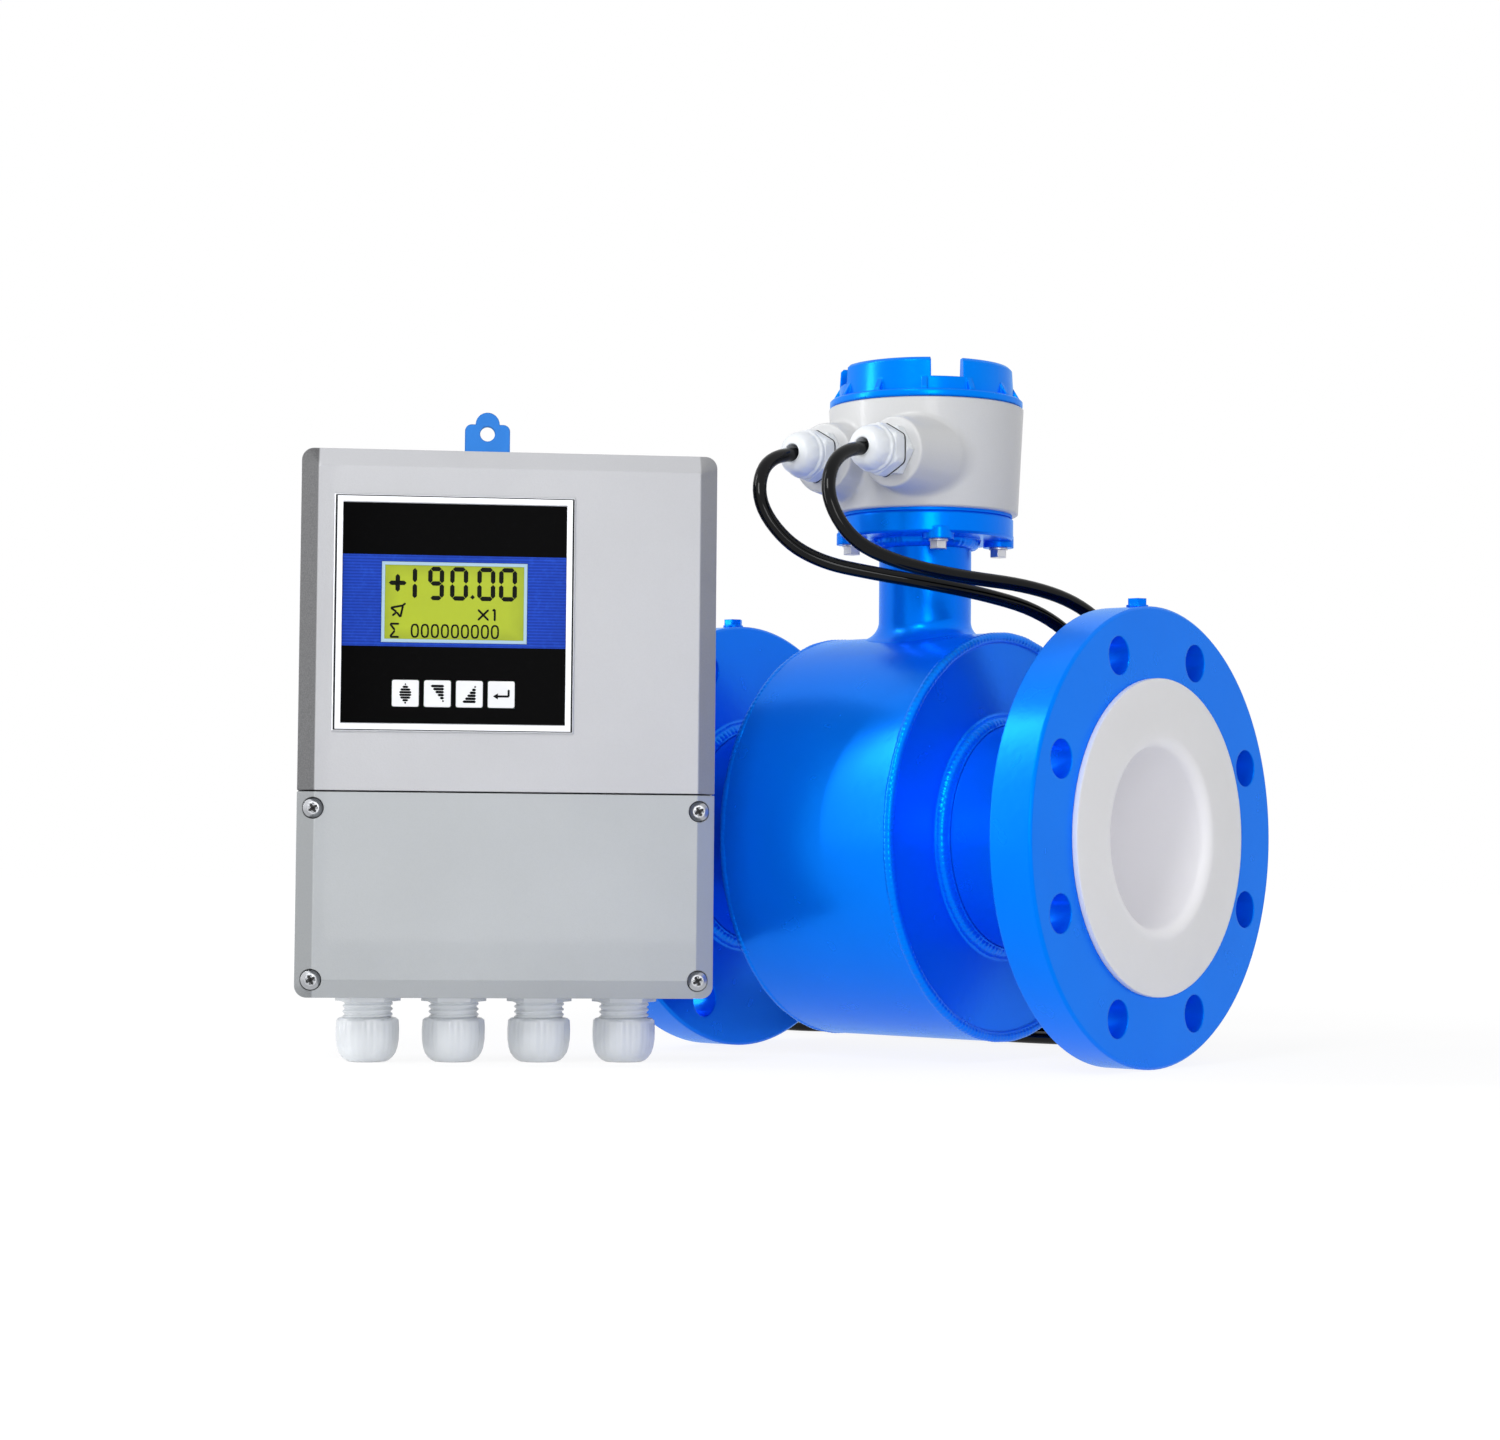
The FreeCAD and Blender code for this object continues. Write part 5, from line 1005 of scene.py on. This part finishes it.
# ---------------------------------------------------------------- operators
class FLOWMETER_OT_cables(bpy.types.Operator):
    """Lay both cables from their glands over the housing to their tied coils"""
    bl_idname = "flowmeter.cables"
    bl_label = "Cables"

    def execute(self, context):
        black = tuple(context.scene.flowmeter_colours.cable_black)
        jacket("jacket black", black)
        moulded("tie black", shade(black, 1.4), 0.4)
        cable("signal_cord", SIGNAL_ROUTE, (-60.0, 190.0), -120.0, 15 * 360 + 90.0)
        cable("excitation_cord", EXCITATION_ROUTE, (-175.0, 170.0), -93.0, 15 * 360 + 147.0)
        dress(["signal_cable_end", "excitation_cable_end"], rubber_boot(black))
        return {"FINISHED"}


def rubber_boot(base):
    """Black crinkled finish that the boot, cores and ferrules of a cable end share."""
    finish = Finish("cable end")
    crinkle = finish.ramp(finish.noise(400.0, 3.0), 0.4, 0.8)
    finish.set("Base Color", finish.mix(crinkle * 0.4, shade(base, 1.3), shade(base, 3.0)))
    finish.set("Roughness", 0.45 + 0.2 * crinkle)
    finish.bump(crinkle, 0.3, 0.0003)
    return finish.material


class FLOWMETER_OT_sensor(bpy.types.Operator):
    """Paint the flanges, tube, housing and neck flange, and finish the lining and the screws"""
    bl_idname = "flowmeter.sensor"
    bl_label = "Sensor body"

    def execute(self, context):
        colours = context.scene.flowmeter_colours
        blue = tuple(colours.sensor_blue)
        dress_slots({
            **dict.fromkeys(("blue_paint", "tube_steel", "screw_paint"), enamel("sensor enamel", blue)),
            "liner_white": lining("bore lining", tuple(colours.liner_white)),
            "zinc_steel": metal("zinc plate", linear(205, 206, 210), 0.28),
            "seal_rubber": rubber("seal rubber", linear(24, 24, 26)),
        })
        dress(["box_gasket"], enamel("painted gasket", blue, 0.4, edge=0.0))
        return {"FINISHED"}


class FLOWMETER_OT_inner_parts(bpy.types.Operator):
    """Finish the electrodes, coils, cores and terminals inside"""
    bl_idname = "flowmeter.inner_parts"
    bl_label = "Inner parts"

    def execute(self, context):
        dress_slots({
            "electrode_steel": metal("electrode steel", linear(198, 200, 204), 0.2),
            "bush_plastic": moulded("bush plastic", linear(226, 214, 188)),
            "magnet_iron": metal("annealed iron", linear(96, 96, 100), 0.45),
            "winding": windings("enamelled copper", linear(196, 104, 48)),
            "wire_red": moulded("lead insulation", linear(196, 34, 30)),
            "terminal_green": moulded("terminal green", linear(40, 128, 72)),
            "board_green": circuit("solder mask", linear(18, 92, 52)),
            "module_black": moulded("potting black", linear(26, 26, 28), 0.5),
        })
        return {"FINISHED"}


class FLOWMETER_OT_welds(bpy.types.Operator):
    """Lay the painted weld beads of the housing, tube and neck"""
    bl_idname = "flowmeter.welds"
    bl_label = "Weld beads"

    def execute(self, context):
        blue = tuple(context.scene.flowmeter_colours.sensor_blue)
        paint = enamel("bead enamel", shade(blue, 1.04), edge=0.0)
        rims = [ring_bead(RIM_R, side * SHELL_END_X, 2.75) for side in (-1, 1)]
        piece("rim_welds", rims, paint)
        fillets = [ring_bead(TUBE_R, side * SHELL_END_X, 4.9, side * 0.4, 0.4) for side in (-1, 1)]
        fillets += [ring_bead(TUBE_R, side * FLANGE_BACK_X, 4.9, side * -0.4, 0.4) for side in (-1, 1)]
        piece("tube_welds", fillets, paint)
        piece("neck_weld", [upright_bead(NECK_R + 0.5, NECK_FLANGE_Z - 0.5, 4.3)], paint)
        return {"FINISHED"}


class FLOWMETER_OT_neck(bpy.types.Operator):
    """Form the neck with its flared foot"""
    bl_idname = "flowmeter.neck"
    bl_label = "Neck"

    def execute(self, context):
        neck = piece("neck", [neck_surface()], bpy.data.materials["sensor enamel"])
        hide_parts("neck_tube")
        return {"FINISHED"}


class FLOWMETER_OT_junction_box(bpy.types.Operator):
    """Form the cast junction box with its two gland bosses, and finish its cap"""
    bl_idname = "flowmeter.junction_box"
    bl_label = "Junction box"

    def execute(self, context):
        colours = context.scene.flowmeter_colours
        paint = powder("box paint", tuple(colours.box_grey), 0.34, 0.12, edge=0.0)
        box = piece("box_casting", [box_surface()], paint, crease=50.0)
        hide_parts("junction_box")
        dress_slots({"cap_paint": enamel("cap enamel", tuple(colours.cap_blue), edge=0.0012)})
        return {"FINISHED"}


class FLOWMETER_OT_glands(bpy.types.Operator):
    """Finish the nylon glands and set their sealing rings"""
    bl_idname = "flowmeter.glands"
    bl_label = "Cable glands"

    def execute(self, context):
        white = tuple(context.scene.flowmeter_colours.plastic_white)
        nylon = moulded("gland nylon", white, 0.3, 0.08, 0.0007, 0.2)
        dress_slots({"gland_white": nylon})
        ring = rubber("ring rubber", linear(20, 20, 22))
        piece("gland_rings", [gland_ring(side) for side in (-BOSS_X, BOSS_X)], ring)
        for name, side in (("excitation", -BOSS_X), ("signal", BOSS_X)):
            nut = piece(name + "_nut", [box_nut(side)], nylon, crease=28.0)
            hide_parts(name + "_gland_nut")
        row = [converter_nut(x) for x in GLAND_ROW_X]
        nuts = piece("converter_nuts", row, nylon, crease=28.0)
        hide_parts("converter_gland_nuts")
        piece("gland_threads", [gland_thread(x) for x in GLAND_ROW_X], nylon)
        return {"FINISHED"}


class FLOWMETER_OT_converter(bpy.types.Operator):
    """Finish the converter's housing, covers, frame and hanger"""
    bl_idname = "flowmeter.converter"
    bl_label = "Converter"

    def execute(self, context):
        colours = context.scene.flowmeter_colours
        dress_slots({
            # Painted shade on the side bevel faces of both covers; the left side is darker than the right.
            "converter_grey": powder("converter paint", tuple(colours.converter_grey), bevel_shade=(0.14, 0.52)),
            "terminal_cover_grey": powder("cover paint", tuple(colours.cover_grey), bevel_shade=(0.56, 0.92)),
            "frame_silver": stamped("silver frame", linear(206, 208, 212)),
            "hanger_blue": enamel("hanger enamel", linear(50, 108, 186), 0.35, edge=0.0006),
        })
        dress(["terminal_cover_screws"], metal("screw steel", linear(176, 178, 182), 0.25))
        # Painted shadow: a dark ring in each screw seat and dark crossed marks for the cross recesses.
        shadow = rubber("recess shadow", linear(26, 26, 28))
        marks = [shell for x in (-COVER_SCREW_X, COVER_SCREW_X) for z in COVER_SCREW_Z
                 for shell in screw_recess(x, z)]
        piece("screw_recesses", marks, shadow)
        return {"FINISHED"}


class FLOWMETER_OT_display(bpy.types.Operator):
    """Finish the front film and the display, and draw its figures"""
    bl_idname = "flowmeter.display"
    bl_label = "Display"

    def execute(self, context):
        colours = context.scene.flowmeter_colours
        dress_slots({"overlay_black": front_panel("front film", tuple(colours.band_blue))})
        dress_slots({"lcd_green": display_glass("display field", tuple(colours.display_green))})
        dark = ink("display ink", linear(10, 14, 6))
        piece("display_marks", display_marks(), dark, crease=10.0)
        # Painted shadow: dark lines along the outer edge of the display frame.
        grey = ink("line grey", linear(34, 36, 38))
        piece("frame_lines", frame_lines(), grey, crease=10.0)
        return {"FINISHED"}


class FLOWMETER_OT_keys(bpy.types.Operator):
    """Finish the four keys and print their signs"""
    bl_idname = "flowmeter.keys"
    bl_label = "Keys"

    def execute(self, context):
        dress_slots({"key_white": moulded("key white", linear(238, 240, 242), 0.4, 0.05, 0.0005)})
        dark = ink("key ink", linear(8, 9, 12))
        for index, name in enumerate(("menu_key", "down_key", "up_key", "enter_key")):
            piece(name + "_sign", key_marks(index), dark, body=name, crease=10.0)
        return {"FINISHED"}


class FLOWMETER_OT_stage(bpy.types.Operator):
    """Set the camera, the floor, the lights and the surroundings"""
    bl_idname = "flowmeter.stage"
    bl_label = "Stage"

    def execute(self, context):
        stage = context.scene.flowmeter_stage
        forward, right = self.set_camera(stage)
        self.add_floor()
        middle = Vector((-0.02, -0.06, 0.05))
        self.add_light("key light", middle - right * 0.55 - forward * 1.3 + Vector((0, 0, 1.2)), middle,
                       stage.key_power, (0.5, 0.5))
        self.add_light("side light", Vector((1.3, -1.45, 0.25)), Vector((0.14, 0.0, 0.0)), stage.side_power,
                       (0.5, 0.9))
        self.add_light("strip light", middle + Vector((-1.0, -1.0, 0.6)), middle, stage.strip_power,
                       (0.2, 1.6))
        self.set_world(stage.world_level)
        context.scene.view_settings.view_transform = "Standard"
        return {"FINISHED"}

    def set_camera(self, stage):
        """Camera from its place, yaw, pitch and roll; gives the view's forward and right directions."""
        yaw, pitch, roll = stage.camera_yaw, stage.camera_pitch, stage.camera_roll
        forward = Vector((-math.sin(yaw) * math.cos(pitch), math.cos(yaw) * math.cos(pitch), math.sin(pitch)))
        level = Vector((math.cos(yaw), math.sin(yaw), 0.0))
        over = level.cross(forward)
        right = level * math.cos(roll) + over * math.sin(roll)
        up = over * math.cos(roll) - level * math.sin(roll)
        data = bpy.data.cameras.new("camera")
        data.lens = stage.lens
        data.sensor_width = 36.0
        camera = bpy.data.objects.new("camera", data)
        turn = Matrix((right, up, -forward)).transposed().to_4x4()
        camera.matrix_world = Matrix.Translation(Vector(stage.camera_place)) @ turn
        bpy.context.scene.collection.objects.link(camera)
        bpy.context.scene.camera = camera
        return forward, right

    def add_light(self, name, place, target, power, size):
        """Rectangular soft light aimed at a point."""
        data = bpy.data.lights.new(name, "AREA")
        data.shape = "RECTANGLE"
        data.size, data.size_y = size
        data.energy = power
        light = bpy.data.objects.new(name, data)
        light.location = place
        light.rotation_euler = (target - place).to_track_quat("-Z", "Y").to_euler()
        bpy.context.scene.collection.objects.link(light)

    def seen(self, finish):
        """1 for rays from the camera, off gloss or through glass, 0 for rays that only light things."""
        rays = [finish.node("ShaderNodeLightPath", output=name)
                for name in ("Is Camera Ray", "Is Glossy Ray", "Is Transmission Ray")]
        return rays[0].apply("MAXIMUM", rays[1]).apply("MAXIMUM", rays[2])

    def add_floor(self):
        """Pale level floor, a grid of points that is evenly spaced; it keeps part of the shadow."""
        line = np.linspace(-6.0, 6.0, 13)
        x, y = np.meshgrid(line, line, indexing="ij")
        points = np.stack([x, y, np.full_like(x, FLOOR_Z * MM - 0.0001)], -1)
        vertices, faces = grid_mesh(points, wrap_columns=False)
        mesh = bpy.data.meshes.new("floor")
        mesh.from_pydata(vertices.tolist(), [], faces)
        floor = bpy.data.objects.new("floor", mesh)
        bpy.context.scene.collection.objects.link(floor)
        finish = Finish("floor white")
        finish.set("Base Color", (0.92, 0.92, 0.92))
        finish.set("Roughness", 0.9)
        finish.set("Specular IOR Level", 0.0)
        glow = finish.node("ShaderNodeEmission", inputs={"Color": (1.0, 1.0, 1.0, 1.0), "Strength": 1.06})
        matte = Wire(finish, finish.shader.outputs[0])
        place = finish.place()
        x, y = finish.axis(place, 0), finish.axis(place, 1)
        reach = finish.ramp((x * x + y * y).apply("SQRT"), 0.4, 1.2)
        share = self.seen(finish) * (0.84 + 0.16 * reach)
        mixed = finish.node("ShaderNodeMixShader", inputs={0: share, 1: matte, 2: glow})
        finish.tree.links.new(mixed.socket, finish.tree.nodes["Material Output"].inputs["Surface"])
        mesh.materials.append(finish.material)

    def set_world(self, level):
        """White behind the object for what is seen, a plain grey for what only lights."""
        world = bpy.data.worlds.new("surroundings")
        world.use_nodes = True
        bpy.context.scene.world = world
        finish = Finish(world.name, world.node_tree)
        finish.set("Color", (1.0, 1.0, 1.0))
        span = {"Value": self.seen(finish), "To Min": level, "To Max": 1.0}
        finish.set("Strength", finish.node("ShaderNodeMapRange", inputs=span))


STEPS = (FLOWMETER_OT_stage, FLOWMETER_OT_cables, FLOWMETER_OT_sensor, FLOWMETER_OT_inner_parts,
         FLOWMETER_OT_welds, FLOWMETER_OT_neck, FLOWMETER_OT_junction_box, FLOWMETER_OT_glands,
         FLOWMETER_OT_converter, FLOWMETER_OT_display, FLOWMETER_OT_keys)


class FLOWMETER_PT_steps(bpy.types.Panel):
    """Steps that finish the flow meter, and the sizes and colours they use"""
    bl_label = "Flow meter"
    bl_idname = "FLOWMETER_PT_steps"
    bl_space_type = "VIEW_3D"
    bl_region_type = "UI"
    bl_category = "Flow meter"

    def draw(self, context):
        layout = self.layout
        for step in STEPS:
            layout.operator(step.bl_idname)
        scene = context.scene
        for group in (scene.flowmeter_sizes, scene.flowmeter_colours, scene.flowmeter_stage):
            for name in group.bl_rna.properties.keys():
                if name not in ("rna_type", "name"):
                    layout.prop(group, name)


CLASSES = (FlowmeterSizes, FlowmeterColours, FlowmeterStage, *STEPS, FLOWMETER_PT_steps)


def register():
    """Add the classes and the property groups of the scene."""
    for item in CLASSES:
        bpy.utils.register_class(item)
    bpy.types.Scene.flowmeter_sizes = PointerProperty(type=FlowmeterSizes)
    bpy.types.Scene.flowmeter_colours = PointerProperty(type=FlowmeterColours)
    bpy.types.Scene.flowmeter_stage = PointerProperty(type=FlowmeterStage)


def unregister():
    """Remove what register added."""
    del bpy.types.Scene.flowmeter_stage
    del bpy.types.Scene.flowmeter_colours
    del bpy.types.Scene.flowmeter_sizes
    for item in reversed(CLASSES):
        bpy.utils.unregister_class(item)


def main():
    """Finish the flow meter step by step."""
    register()
    for step in STEPS:
        group, name = step.bl_idname.split(".")
        getattr(getattr(bpy.ops, group), name)()


if __name__ == "__main__":
    main()
